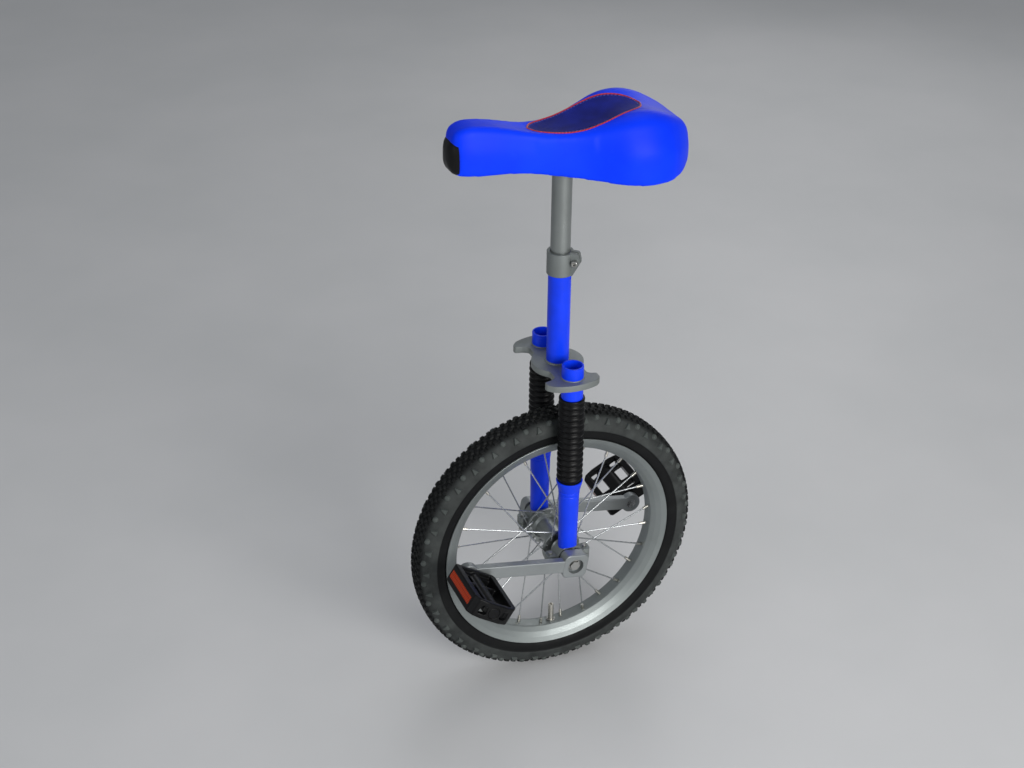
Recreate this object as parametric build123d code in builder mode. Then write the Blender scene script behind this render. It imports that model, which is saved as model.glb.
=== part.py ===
from build123d import *
import os
from math import sin, cos, tan, radians, degrees, sqrt, atan2, hypot

os.makedirs("parts", exist_ok=True)

# ---------------------------------------------------------------- dimensions
# Frame: +X forward (saddle nose), +Y to the rider's left, +Z up.
# Origin: the point where the tyre meets the ground, below the hub.  Millimetres.
WHEEL_R = 203.0          # outside radius over the tread blocks (16 x 2.125 tyre)
AXLE_Z = WHEEL_R
TREAD = 4.0              # tread block height
TYRE_HALF_W = 25.0
RIM_R = 163.5            # rim flange outside radius
RIM_BED_R = 144.0        # inner face of the rim, towards the hub
RIM_HALF_W = 22.0
SPOKE_N = 28
SPOKE_R = 1.0
FLANGE_R = 27.0
SPOKE_PITCH_R = 23.0
FLANGE_IN, FLANGE_OUT = 25.0, 29.0
LEG_Y = 48.0             # fork leg centre from the wheel's mid-plane
TRAVEL = 45.0            # fork stroke
SLEEVE_R = 14.2
SLEEVE_TOP, SLEEVE_BOT = 497.0, 446.0
STANCHION_R = 10.0
STANCHION_TOP, STANCHION_BOT = 482.0, 277.0
CROWN_TOP, CROWN_BOT = 479.8, 471.3
CROWN_R = 71.0
CROWN_TIP = 38.0         # half length of the crown's crescents, fore and aft
SEAT_TUBE_R, POST_R = 14.7, 12.7
SEAT_TUBE_BORE = 12.75
SEAT_TUBE_TOP = 634.5
CLAMP_BOT, CLAMP_TOP, CLAMP_R = 605.0, 636.0, 17.0
CLAMP_ANGLE = 140.0      # direction of the clamp's ears, seen from above
POST_BOT, POST_TOP = 532.0, 757.0
HOLDER_R, BEARING_R = 20.3, 17.5
HOLDER_Y0, HOLDER_Y1 = 38.0, 58.0
CRANK_LEN = 155.0
CRANK_ANGLE = 10.0       # left crank points forward and this much up
CRANK_IN, CRANK_OUT = 61.6, 77.5       # boss
ARM_IN, ARM_OUT = 66.0, 77.0           # arm, which must pass outside the fork boots
PEDAL_PITCH = {"left": -33.0, "right": 28.0}   # turn about +Y at rest
PEDAL_IN, PEDAL_OUT = 80.0, 164.0
PEDAL_HW, PEDAL_HH = 33.0, 12.5


def save(item, name):
    item.label = name
    export_step(item, "parts/" + name + ".step")


SIDES = (("left", 1), ("right", -1))

# ================================================================= frame body
# ---- fork crown: a disc cut back to an anchor shape, with a spigot for the seat tube
with BuildPart() as fork_crown:
    with BuildSketch(Plane.XY.offset(CROWN_BOT)) as crown_sk:
        Circle(CROWN_R)
        Rectangle(2 * CROWN_TIP, 160, mode=Mode.INTERSECT)
        Rectangle(120, 86, mode=Mode.SUBTRACT)
        for sx in (1, -1):
            for sy in (1, -1):
                with BuildLine():
                    Polyline((sx * 22, sy * 43), (sx * 22, sy * 42), (sx * 45, sy * 42), (sx * 45, sy * 52.5), (sx * CROWN_TIP, sy * 51.5), (sx * 31, sy * 47.5), close=True)
                make_face(mode=Mode.SUBTRACT)
        Rectangle(44, 104)
        Circle(34)
        fillet(crown_sk.vertices().filter_by(lambda v: abs(v.X) > CROWN_TIP - 0.2 and abs(v.Y) > 55), 4)
        fillet(crown_sk.vertices().filter_by(lambda v: abs(abs(v.X) - 22) < 0.2), 3.5)
    extrude(amount=CROWN_TOP - CROWN_BOT)
    chamfer(fork_crown.faces().filter_by(Axis.Z).edges(), 0.9)
    with BuildSketch(Plane.XY.offset(CROWN_TOP - 0.01)):
        Circle(SEAT_TUBE_BORE - 0.02)
    extrude(amount=12)
    with BuildSketch(Plane.XY.offset(CROWN_BOT - 1)):
        with Locations((0, LEG_Y), (0, -LEG_Y)):
            Circle(SLEEVE_R)
        Circle(4)
    extrude(amount=40, mode=Mode.SUBTRACT)
save(fork_crown.part, "fork_crown")

# ---- seat tube, slotted at the top for the clamp
ear_dir = Vector(cos(radians(CLAMP_ANGLE)), sin(radians(CLAMP_ANGLE)), 0)
with BuildPart() as seat_tube:
    with BuildSketch(Plane.XY.offset(CROWN_TOP)):
        Circle(SEAT_TUBE_R)
        Circle(SEAT_TUBE_BORE, mode=Mode.SUBTRACT)
    extrude(amount=SEAT_TUBE_TOP - CROWN_TOP)
    ear_plane = Plane(origin=(0, 0, 0), x_dir=ear_dir, z_dir=(0, 0, 1))
    with BuildSketch(ear_plane.offset(600)):
        with Locations((14, 0)):
            Rectangle(12, 3)
    extrude(amount=60, mode=Mode.SUBTRACT)
    with BuildSketch(Plane(origin=ear_dir * 5 + Vector(0, 0, 600), x_dir=(0, 0, 1), z_dir=ear_dir)):
        Circle(2.6)
    extrude(amount=20, mode=Mode.SUBTRACT)
save(seat_tube.part, "seat_tube")

# ---- seat clamp: a split collar with two rounded-triangular ears
ear_face = Plane(origin=(0, 0, 0), x_dir=ear_dir, z_dir=ear_dir.cross(Vector(0, 0, 1)))
with BuildPart() as seat_clamp:
    with BuildSketch(Plane.XY.offset(CLAMP_BOT)):
        Circle(CLAMP_R)
    extrude(amount=CLAMP_TOP - CLAMP_BOT)
    chamfer(seat_clamp.edges().filter_by(GeomType.CIRCLE), 0.6)
    with BuildSketch(ear_face.offset(-6.2)) as ear_sk:
        with BuildLine():
            Polyline((10, CLAMP_TOP), (24.2, CLAMP_TOP), (26.4, 622), (17.6, CLAMP_BOT), (10, CLAMP_BOT), close=True)
        make_face()
        fillet(ear_sk.vertices().filter_by(lambda v: (v.X ** 2 + v.Y ** 2) > 23 ** 2), 4.0)
    extrude(amount=12.4)
    with BuildSketch(Plane.XY.offset(CLAMP_BOT - 1)):
        Circle(SEAT_TUBE_R)
    extrude(amount=SEAT_TUBE_TOP - CLAMP_BOT + 1, mode=Mode.SUBTRACT)
    with BuildSketch(Plane.XY.offset(CLAMP_BOT - 1)):
        Circle(13.2)
    extrude(amount=60, mode=Mode.SUBTRACT)
    with BuildSketch(ear_plane.offset(CLAMP_BOT - 1)):
        with Locations((22, 0)):
            Rectangle(24, 3)
    extrude(amount=60, mode=Mode.SUBTRACT)
    with BuildSketch(ear_face.offset(-20)):
        with Locations((21.0, 624)):
            Circle(2.6)
    extrude(amount=40, mode=Mode.SUBTRACT)
save(seat_clamp.part, "seat_clamp")

with BuildPart() as seat_clamp_bolt:
    with BuildSketch(ear_face.offset(-10.2)):
        with Locations((21.0, 624)):
            Circle(2.5)
    extrude(amount=20.4)
    with BuildSketch(ear_face.offset(6.2)):
        with Locations((21.0, 624)):
            Circle(4.2)
    extrude(amount=5)
    chamfer(seat_clamp_bolt.edges().filter_by(GeomType.CIRCLE).filter_by(lambda e: e.radius > 4), 0.5)
    with BuildSketch(ear_face.offset(8.4)):
        with Locations((21.0, 624)):
            RegularPolygon(2.3, 6)
    extrude(amount=4, mode=Mode.SUBTRACT)
save(seat_clamp_bolt.part, "seat_clamp_bolt")

with BuildPart() as seat_clamp_nut:
    with BuildSketch(ear_face.offset(-10.2)):
        with Locations((21.0, 624)):
            RegularPolygon(4.6, 6)
            Circle(2.5, mode=Mode.SUBTRACT)
    extrude(amount=4.0)
save(seat_clamp_nut.part, "seat_clamp_nut")

# ---- upper fork legs
for side, s in SIDES:
    axis_pl = Plane(origin=(0, s * LEG_Y, 0), x_dir=(1, 0, 0), z_dir=(0, 0, 1))
    with BuildPart() as upper_sleeve:
        with BuildSketch(axis_pl.offset(SLEEVE_BOT)):
            Circle(SLEEVE_R)
        extrude(amount=SLEEVE_TOP - SLEEVE_BOT)
        fillet(upper_sleeve.edges().filter_by(GeomType.CIRCLE).sort_by(Axis.Z)[-1], 0.8)
        with BuildSketch(axis_pl.offset(SLEEVE_BOT)):
            Circle(STANCHION_R)
        extrude(amount=SLEEVE_TOP - SLEEVE_BOT, mode=Mode.SUBTRACT)
        with BuildSketch(axis_pl.offset(STANCHION_TOP)):
            Circle(11.8)
        extrude(amount=30, mode=Mode.SUBTRACT)
    save(upper_sleeve.part, "upper_sleeve_" + side)

    with BuildPart() as stanchion:
        with BuildSketch(axis_pl.offset(STANCHION_BOT)):
            Circle(STANCHION_R)
        extrude(amount=STANCHION_TOP - STANCHION_BOT)
        with BuildSketch(axis_pl.offset(STANCHION_BOT)):
            Circle(10.8)
        extrude(amount=4)
        with BuildSketch(axis_pl.offset(STANCHION_BOT)):
            Circle(8.0)
        extrude(amount=STANCHION_TOP - STANCHION_BOT, mode=Mode.SUBTRACT)
    save(stanchion.part, "stanchion_" + side)

    # spring between the top plug and the head of the rod that stands in the lower leg
    with BuildPart() as spring:
        with BuildLine():
            Helix(pitch=9.0, height=107.5, radius=6.2, center=(0, s * LEG_Y, 331.2))
        with BuildSketch(Plane(origin=(6.2, s * LEG_Y, 331.2), x_dir=(1, 0, 0), z_dir=(0, 1, 0.231))):
            Circle(1.1)
        sweep(is_frenet=True)
    save(spring.part, "fork_spring_" + side)

    # bellows boot: closed rubber tube of fourteen folds
    N = 14
    z0, z1 = 326.6, 446.6
    pitch = (z1 - z0) / N
    outer, inner = [], []
    for i in range(N):
        zc = z0 + i * pitch
        outer += [(14.9, zc), (17.3, zc + pitch * 0.36), (17.3, zc + pitch * 0.64)]
        inner += [(13.7, zc), (16.0, zc + pitch * 0.40), (16.0, zc + pitch * 0.60)]
    outer += [(14.9, z1)]
    prof = [(13.7, 316.4), (15.2, 316.4), (15.2, 325.4)] + outer + [(16.4, z1 + 0.8), (16.4, z1 + 3.3), (15.6, z1 + 4.1), (SLEEVE_R + 0.02, z1 + 4.1),
            (SLEEVE_R + 0.02, z1 - 0.2)] + inner[::-1]
    boot_pl = Plane(origin=(0, s * LEG_Y, 0), x_dir=(1, 0, 0), z_dir=(0, -1, 0))
    with BuildPart() as boot:
        with BuildSketch(boot_pl):
            with BuildLine():
                Polyline(*prof, close=True)
            make_face()
        revolve(axis=Axis((0, s * LEG_Y, 0), (0, 0, 1)))
    save(boot.part, "fork_boot_" + side)

    # lower leg: tapered tube with a flared cup for the boot, mitred on to the bearing holder
    lower_prof = [(0, 205), (12.4, 205), (12.7, 240), (13.6, 299), (13.6, 302.4), (13.1, 303.2), (13.1, 304.4), (14.1, 305.2), (14.1, 308.2),
                  (13.6, 308.9), (13.6, 310.0), (14.5, 310.8), (15.1, 313.4), (16.0, 317.0), (17.0, 320.6), (17.6, 323.2), (17.6, 324.4), (17.1, 325.0), (15.9, 325.0),
                  (15.5, 324.4), (15.5, 316.0), (11.0, 316.0), (11.0, 230.0), (0, 230.0)]
    with BuildPart() as lower_leg:
        with BuildSketch(boot_pl):
            with BuildLine():
                Polyline(*lower_prof, close=True)
            make_face()
        revolve(axis=Axis((0, s * LEG_Y, 0), (0, 0, 1)))
        with BuildSketch(Plane(origin=(0, s * LEG_Y, AXLE_Z), x_dir=(1, 0, 0), z_dir=(0, 1, 0))):
            Circle(HOLDER_R)
        extrude(amount=40, both=True, mode=Mode.SUBTRACT)
        with BuildSketch(Plane.XY.offset(190)):
            with Locations((0, s * LEG_Y)):
                Rectangle(60, 60)
        extrude(amount=AXLE_Z + 6 - 190, mode=Mode.SUBTRACT)
    save(lower_leg.part, "lower_leg_" + side)

    # split bearing holder: upper half welded to the leg, lower half bolted on
    hold_pl = Plane(origin=(0, s * HOLDER_Y0, AXLE_Z), x_dir=(1, 0, 0), z_dir=(0, s, 0))
    for half, up in (("bearing_holder_", 1), ("bearing_cap_", -1)):
        with BuildPart() as holder:
            with BuildSketch(hold_pl):
                Circle(HOLDER_R)
            extrude(amount=HOLDER_Y1 - HOLDER_Y0)
            with BuildSketch(Plane.XY.offset(AXLE_Z - 8)) as ears:
                with Locations((0, s * LEG_Y)):
                    RectangleRounded(62, 15, 4)
            extrude(amount=16)
            fillet(holder.edges().filter_by(GeomType.CIRCLE).filter_by(lambda e: abs(e.radius - HOLDER_R) < 0.01), 0.7)
            with BuildSketch(hold_pl):
                Circle(BEARING_R)
            extrude(amount=HOLDER_Y1 - HOLDER_Y0, mode=Mode.SUBTRACT)
            with BuildSketch(Plane.XY.offset(AXLE_Z - 30)):
                with Locations((24.8, s * LEG_Y), (-24.8, s * LEG_Y)):
                    Circle(3.0 if up > 0 else 3.2)
            extrude(amount=60, mode=Mode.SUBTRACT)
            with BuildSketch(Plane.XY.offset(AXLE_Z - 30 if up > 0 else AXLE_Z - 0.4)):
                with Locations((0, s * LEG_Y)):
                    Rectangle(90, 60)
            extrude(amount=30.4 if up > 0 else 31, mode=Mode.SUBTRACT)
        save(holder.part, half + side)

# ---- parts shared by both legs, each a group of separate solids
leg_spots = [(0, LEG_Y), (0, -LEG_Y)]
with BuildPart() as spring_plugs:
    with BuildSketch(Plane.XY.offset(440)):
        with Locations(*leg_spots):
            Circle(7.99)
    extrude(amount=40)
    with BuildSketch(Plane.XY.offset(473)):
        with Locations(*leg_spots):
            RegularPolygon(4.6, 6)
    extrude(amount=10, mode=Mode.SUBTRACT)
save(spring_plugs.part, "spring_plugs")

with BuildPart() as spring_rods:
    with BuildSketch(Plane.XY.offset(230)):
        with Locations(*leg_spots):
            Circle(4.4)
    extrude(amount=94)
    with BuildSketch(Plane.XY.offset(322)):
        with Locations(*leg_spots):
            Circle(7.2)
    extrude(amount=8)
save(spring_rods.part, "spring_rods")

with BuildPart() as slide_bushings:
    for zb, hb in ((283, 14), (300, 16)):
        with BuildSketch(Plane.XY.offset(zb)):
            with Locations(*leg_spots):
                Circle(11.0)
                Circle(STANCHION_R + 0.05, mode=Mode.SUBTRACT)
        extrude(amount=hb)
save(slide_bushings.part, "slide_bushings")

bolt_spots = [(x, y) for x in (24.8, -24.8) for y in (LEG_Y, -LEG_Y)]
with BuildPart() as bearing_cap_bolts:
    with BuildSketch(Plane.XY.offset(AXLE_Z - 13.2)):
        with Locations(*bolt_spots):
            Circle(2.99)
    extrude(amount=24.2)
    chamfer(bearing_cap_bolts.edges().filter_by(GeomType.CIRCLE).group_by(Axis.Z)[-1], 0.6)
    with BuildSketch(Plane.XY.offset(AXLE_Z - 13.4)):
        with Locations(*bolt_spots):
            RegularPolygon(5.4, 6)
    extrude(amount=5.4)
save(bearing_cap_bolts.part, "bearing_cap_bolts")

bear_y = (43.0, -53.0)
with BuildPart() as bearing_outer_races:
    for yb in bear_y:
        with BuildSketch(Plane(origin=(0, yb, AXLE_Z), x_dir=(1, 0, 0), z_dir=(0, 1, 0))):
            Circle(BEARING_R)
            Circle(14.9, mode=Mode.SUBTRACT)
        extrude(amount=10)
    for yb in bear_y:
        with BuildSketch(Plane(origin=(0, yb + 5, AXLE_Z), x_dir=(0, 1, 0), z_dir=(1, 0, 0))):
            with Locations((0, 13.1)):
                Circle(2.42)
        revolve(axis=Axis((0, 0, AXLE_Z), (0, 1, 0)), mode=Mode.SUBTRACT)
save(bearing_outer_races.part, "bearing_outer_races")

# ================================================================= wheel body
with BuildPart() as bearing_inner_races:
    for yb in bear_y:
        with BuildSketch(Plane(origin=(0, yb, AXLE_Z), x_dir=(1, 0, 0), z_dir=(0, 1, 0))):
            Circle(11.3)
            Circle(8.5, mode=Mode.SUBTRACT)
        extrude(amount=10)
    for yb in bear_y:
        with BuildSketch(Plane(origin=(0, yb + 5, AXLE_Z), x_dir=(0, 1, 0), z_dir=(1, 0, 0))):
            with Locations((0, 13.1)):
                Circle(2.42)
        revolve(axis=Axis((0, 0, AXLE_Z), (0, 1, 0)), mode=Mode.SUBTRACT)
save(bearing_inner_races.part, "bearing_inner_races")

with BuildPart() as bearing_balls:
    for yb in bear_y:
        with Locations(*[(13.1 * cos(radians(a)), yb + 5, AXLE_Z + 13.1 * sin(radians(a))) for a in range(0, 360, 40)]):
            Sphere(2.36)
save(bearing_balls.part, "bearing_balls")

# ---- spindle with square-taper ends, turned to the crank angle
ca, sa = cos(radians(CRANK_ANGLE)), sin(radians(CRANK_ANGLE))
crank_x = Vector(ca, 0, sa)


def square_plane(y, sgn):
    return Plane(origin=(0, y, AXLE_Z), x_dir=crank_x, z_dir=(0, sgn, 0))


with BuildPart() as axle_spindle:
    with BuildSketch(Plane(origin=(0, -58.5, AXLE_Z), x_dir=(1, 0, 0), z_dir=(0, 1, 0))):
        Circle(8.5)
    extrude(amount=117)
    for sgn in (1, -1):
        with BuildSketch(square_plane(sgn * 58.5, sgn)):
            Rectangle(13.4, 13.4)
        with BuildSketch(square_plane(sgn * 69.0, sgn)):
            Rectangle(12.73, 12.73)
        loft()
        with BuildSketch(square_plane(sgn * 69.0, sgn)):
            Circle(4.0)
        extrude(amount=-18, mode=Mode.SUBTRACT)
save(axle_spindle.part, "axle_spindle")

with BuildPart() as axle_spacers:
    for ya, yb, rr in ((33.0, 43.0, 10.6), (53.0, 58.4, 10.6)):
        for sgn in (1, -1):
            with BuildSketch(Plane(origin=(0, sgn * ya, AXLE_Z), x_dir=(1, 0, 0), z_dir=(0, sgn, 0))):
                Circle(rr)
                Circle(8.5, mode=Mode.SUBTRACT)
            extrude(amount=yb - ya)
save(axle_spacers.part, "axle_spacers")

# ---- spoke lacing: two-cross, fourteen a side, heads in and out in turn
step = 360.0 / SPOKE_N
lacing = []
for k in range(SPOKE_N):
    rim_a = radians(-90 + step / 2 + k * step)
    s = 1 if k % 2 == 0 else -1
    lead = (k // 2) % 2 == 0
    hub_a = rim_a + radians(360.0 / 14 * 2 * (1 if lead else -1))
    hub = Vector(SPOKE_PITCH_R * cos(hub_a), 0, SPOKE_PITCH_R * sin(hub_a) + AXLE_Z)
    if lead:
        head_y, elbow_y = s * (FLANGE_OUT + 0.3), s * (FLANGE_IN - 1.5)
    else:
        head_y, elbow_y = s * (FLANGE_IN - 0.3), s * (FLANGE_OUT + 2.6)
    elbow = Vector(hub.X, elbow_y, hub.Z)
    rim_pt = Vector(146.0 * cos(rim_a), s * 2.5, 146.0 * sin(rim_a) + AXLE_Z)
    lacing.append(dict(rim_a=rim_a, s=s, lead=lead, hub=hub, head_y=head_y, elbow=elbow, rim=rim_pt, d=(rim_pt - elbow).normalized(), hub_a=hub_a))

with BuildPart() as hub_shell:
    with BuildSketch(Plane(origin=(0, 0, AXLE_Z), x_dir=(0, 1, 0), z_dir=(1, 0, 0))) as hub_sk:
        with BuildLine():
            Polyline((-33, 8.5), (33, 8.5), (33, 12.5), (29, 15.5), (FLANGE_OUT, FLANGE_R - 0.8), (FLANGE_OUT - 0.8, FLANGE_R), (FLANGE_IN + 0.8, FLANGE_R),
                     (FLANGE_IN, FLANGE_R - 0.8), (FLANGE_IN, 19.0), (21.5, 16.0), (12, 14.2), (0, 13.8), (-12, 14.2), (-21.5, 16.0), (-FLANGE_IN, 19.0), (-FLANGE_IN, FLANGE_R - 0.8),
                     (-FLANGE_IN - 0.8, FLANGE_R), (-FLANGE_OUT + 0.8, FLANGE_R), (-FLANGE_OUT, FLANGE_R - 0.8), (-29, 15.5), (-33, 12.5), close=True)
        make_face()
    revolve(axis=Axis((0, 0, AXLE_Z), (0, 1, 0)))
    for sgn in (1, -1):
        with BuildSketch(Plane(origin=(0, sgn * 20, 0), x_dir=(1, 0, 0), z_dir=(0, -1, 0))):
            with Locations(*[(q["hub"].X, q["hub"].Z) for q in lacing if q["s"] == sgn]):
                Circle(1.3)
        extrude(amount=-sgn * 14, mode=Mode.SUBTRACT)
save(hub_shell.part, "hub_shell")

with BuildPart() as spokes:
    for q in lacing:
        sgn = 1 if q["elbow"].Y > q["head_y"] else -1
        tip = q["rim"] + q["d"] * 1.2
        with BuildLine() as path:
            FilletPolyline(Vector(q["hub"].X, q["head_y"], q["hub"].Z), q["elbow"], tip, radius=1.6)
        with BuildSketch(Plane(origin=(q["hub"].X, q["head_y"], q["hub"].Z), x_dir=(1, 0, 0), z_dir=(0, sgn, 0))):
            Circle(SPOKE_R)
        sweep(path=path.line)
        with BuildSketch(Plane(origin=(q["hub"].X, q["head_y"] - sgn * 1.0, q["hub"].Z), x_dir=(1, 0, 0), z_dir=(0, sgn, 0))):
            Circle(1.8)
        extrude(amount=1.0)
save(spokes.part, "spokes")

with BuildPart() as spoke_nipples:
    for q in lacing:
        for back, ahead, rad in ((-11.0, 0.7, 2.0), (0.6, 2.8, 3.0)):
            o = q["rim"] + q["d"] * back
            with BuildSketch(Plane(origin=o, z_dir=q["d"])):
                Circle(rad)
                Circle(SPOKE_R + 0.02, mode=Mode.SUBTRACT)
            extrude(amount=ahead - back)
save(spoke_nipples.part, "spoke_nipples")

# ---- rim: sloping-sided double-wall ring
wheel_sec = Plane(origin=(0, 0, AXLE_Z), x_dir=(0, 1, 0), z_dir=(1, 0, 0))
wheel_axis = Axis((0, 0, AXLE_Z), (0, 1, 0))
rim_half = [(7.5, 144.0), (9.5, 144.6), (14.5, 150.0), (19.0, 156.6), (21.6, 162.2), (RIM_HALF_W, 163.0), (RIM_HALF_W - 0.3, RIM_R), (19.5, RIM_R), (19.2, 163.0), (19.2, 160.6),
            (17.2, 158.8), (12.0, 157.0)]
with BuildPart() as rim:
    with BuildSketch(wheel_sec):
        with BuildLine():
            Polyline(*rim_half, *[(-y, r) for y, r in rim_half[::-1]], close=True)
        make_face()
    revolve(axis=wheel_axis)
    for q in lacing:
        rd = Vector(cos(q["rim_a"]), 0, sin(q["rim_a"]))
        with BuildSketch(Plane(origin=rd * 149 + Vector(0, q["s"] * 2.5, AXLE_Z), z_dir=rd)):
            Circle(4.6)
        extrude(amount=9, mode=Mode.SUBTRACT)
        with BuildSketch(Plane(origin=q["rim"] - q["d"] * 4, z_dir=q["d"])):
            Circle(2.15)
        extrude(amount=8, mode=Mode.SUBTRACT)
    with BuildSketch(Plane.XY.offset(AXLE_Z - 140)):
        Circle(4.2)
    extrude(amount=-20, mode=Mode.SUBTRACT)
    # the cavity between the two walls
    with BuildSketch(wheel_sec):
        with BuildLine():
            Polyline((-7.4, 146.0), (7.4, 146.0), (12.0, 150.5), (15.0, 154.9), (-15.0, 154.9), (-12.0, 150.5), close=True)
        make_face()
    revolve(axis=wheel_axis, mode=Mode.SUBTRACT)
save(rim.part, "rim")

with BuildPart() as rim_tape:
    with BuildSketch(wheel_sec):
        with Locations((0, 157.41)):
            Rectangle(18, 0.8)
    revolve(axis=wheel_axis)
    with BuildSketch(Plane.XY.offset(AXLE_Z - 140)):
        Circle(7)
    extrude(amount=-20, mode=Mode.SUBTRACT)
save(rim_tape.part, "rim_tape")

TUBE_R, TUBE_C = 17.6, 175.6
with BuildPart() as inner_tube:
    with BuildSketch(wheel_sec):
        with Locations((0, TUBE_C)):
            Circle(TUBE_R)
            Circle(TUBE_R - 1.2, mode=Mode.SUBTRACT)
    revolve(axis=wheel_axis)
save(inner_tube.part, "inner_tube")

# ---- tyre: casing with three rows of tread blocks
CASE_R = WHEEL_R - TREAD
with BuildPart() as tyre:
    with BuildSketch(wheel_sec):
        with BuildLine():
            ThreePointArc((19.0, 163.2), (24.0, 170.0), (TYRE_HALF_W - 0.2, 178.0))
            ThreePointArc((TYRE_HALF_W - 0.2, 178.0), (20.4, 191.4), (0, CASE_R))
            ThreePointArc((0, CASE_R), (-20.4, 191.4), (-TYRE_HALF_W + 0.2, 178.0))
            ThreePointArc((-TYRE_HALF_W + 0.2, 178.0), (-24.0, 170.0), (-19.0, 163.2))
            Polyline((-19.0, 163.2), (-19.0, 161.0), (-17.3, 159.3), (-15.8, 159.6), (-16.6, 163.5))
            ThreePointArc((-16.6, 163.5), (-20.4, 170.0), (-21.4, 178.0))
            ThreePointArc((-21.4, 178.0), (-17.6, 188.6), (0, 195.0))
            ThreePointArc((0, 195.0), (17.6, 188.6), (21.4, 178.0))
            ThreePointArc((21.4, 178.0), (20.4, 170.0), (16.6, 163.5))
            Polyline((16.6, 163.5), (15.8, 159.6), (17.3, 159.3), (19.0, 161.0), (19.0, 163.2))
        make_face()
    revolve(axis=wheel_axis)
    for i in range(36):
        a = 2 * 3.141592653589793 * i / 36
        rd = Vector(cos(a), 0, sin(a))
        tg = Vector(-sin(a), 0, cos(a))
        with BuildSketch(Plane(origin=rd * (CASE_R - 4.4) + Vector(0, 0, AXLE_Z), x_dir=tg, z_dir=rd)):
            Rectangle(9, 22)
        extrude(amount=TREAD + 4.4)
save(tyre.part, "tyre")

# ---- valve: points up at the lowest point of the wheel, through the rim
with BuildPart() as valve_stem:
    with BuildSketch(Plane.XY.offset(AXLE_Z - 157.98)):
        Circle(6.0)
    extrude(amount=0.94)
    with BuildSketch(Plane.XY.offset(AXLE_Z - 157.1)):
        Circle(4.15)
    extrude(amount=157.1 - 141.5)
    with BuildSketch(Plane.XY.offset(AXLE_Z - 141.5)):
        Circle(3.85)
    extrude(amount=141.5 - 117.0)
    chamfer(valve_stem.edges().filter_by(GeomType.CIRCLE).sort_by(Axis.Z)[-1], 0.5)
    with BuildSketch(Plane.XY.offset(AXLE_Z - 117.0)):
        Circle(2.2)
    extrude(amount=-3.0, mode=Mode.SUBTRACT)
    with BuildSketch(Plane.XY.offset(AXLE_Z - 120.0)):
        Circle(0.7)
    extrude(amount=2.6)
save(valve_stem.part, "valve_stem")

with BuildPart() as valve_nut:
    with BuildSketch(Plane.XY.offset(AXLE_Z - 143.9)):
        RegularPolygon(6.8, 6)
        Circle(4.17, mode=Mode.SUBTRACT)
    extrude(amount=2.4)
save(valve_nut.part, "valve_nut")

# ---- cranks, crank bolts, pedal spindles
for side, s in SIDES:
    cx = crank_x * s
    pl = Plane(origin=(0, 0, AXLE_Z), x_dir=cx, z_dir=(0, s, 0))
    with BuildPart() as crank:
        with BuildSketch(pl.offset(ARM_IN)):
            with Locations((CRANK_LEN / 2, 0)):
                Rectangle(CRANK_LEN, 18.5)
            with Locations((CRANK_LEN, 0)):
                Circle(14)
        extrude(amount=ARM_OUT - ARM_IN)
        fillet(crank.edges().filter_by(lambda e: abs(abs(e.center().Y) - ARM_OUT) < 0.01 or abs(abs(e.center().Y) - ARM_IN) < 0.01), 1.6)
        with BuildSketch(pl.offset(CRANK_IN)):
            RectangleRounded(35, 35, 8)
        extrude(amount=CRANK_OUT - CRANK_IN)
        fillet(crank.edges().filter_by(lambda e: abs(abs(e.center().Y) - CRANK_OUT) < 0.01), 1.6)
        with BuildSketch(square_plane(s * 58.5, s)):
            Rectangle(13.4, 13.4)
        with BuildSketch(square_plane(s * 69.0, s)):
            Rectangle(12.73, 12.73)
        loft(mode=Mode.SUBTRACT)
        with BuildSketch(pl.offset(66.0)):
            Circle(5.0)
        extrude(amount=20, mode=Mode.SUBTRACT)
        with BuildSketch(pl.offset(70.4)):
            Circle(11.0)
        extrude(amount=20, mode=Mode.SUBTRACT)
        with BuildSketch(pl.offset(CRANK_IN - 1)):
            with Locations((CRANK_LEN, 0)):
                Circle(7.1)
        extrude(amount=30, mode=Mode.SUBTRACT)
    save(crank.part, "crank_" + side)

    pp = Plane(origin=(cx * CRANK_LEN) + Vector(0, 0, AXLE_Z), x_dir=cx, z_dir=(0, s, 0))
    with BuildPart() as pedal_spindle:
        with BuildSketch(pp.offset(ARM_IN + 0.3)):
            Circle(7.08)
        extrude(amount=ARM_OUT - ARM_IN)
        with BuildSketch(pp.offset(ARM_OUT + 0.02)):
            Circle(8.6)
        extrude(amount=2.4)
        with BuildSketch(pp.offset(ARM_OUT + 0.3)):
            with Locations((0, 8.6), (0, -8.6)):
                Rectangle(30, 2.2)
        extrude(amount=2.0, mode=Mode.SUBTRACT)
        with BuildSketch(pp.offset(79.0)):
            Circle(6.0)
        extrude(amount=41)
        with BuildSketch(pp.offset(119.0)):
            Circle(4.5)
        extrude(amount=38.0)
    save(pedal_spindle.part, "pedal_spindle_" + side)

    with BuildPart() as spindle_nut:
        with BuildSketch(pp.offset(153.2)):
            RegularPolygon(6.2, 6)
            Circle(4.52, mode=Mode.SUBTRACT)
        extrude(amount=4.0)
    save(spindle_nut.part, "pedal_nut_" + side)

with BuildPart() as crank_bolts:
    for side, s in SIDES:
        pl = Plane(origin=(0, 0, AXLE_Z), x_dir=crank_x * s, z_dir=(0, s, 0))
        with BuildSketch(pl.offset(55)):
            Circle(3.98)
        extrude(amount=18)
        with BuildSketch(pl.offset(70.42)):
            Circle(8.4)
        extrude(amount=1.2)
        with BuildSketch(pl.offset(71.4)):
            RegularPolygon(7.0, 6)
        extrude(amount=4.4)
save(crank_bolts.part, "crank_bolts")

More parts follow.
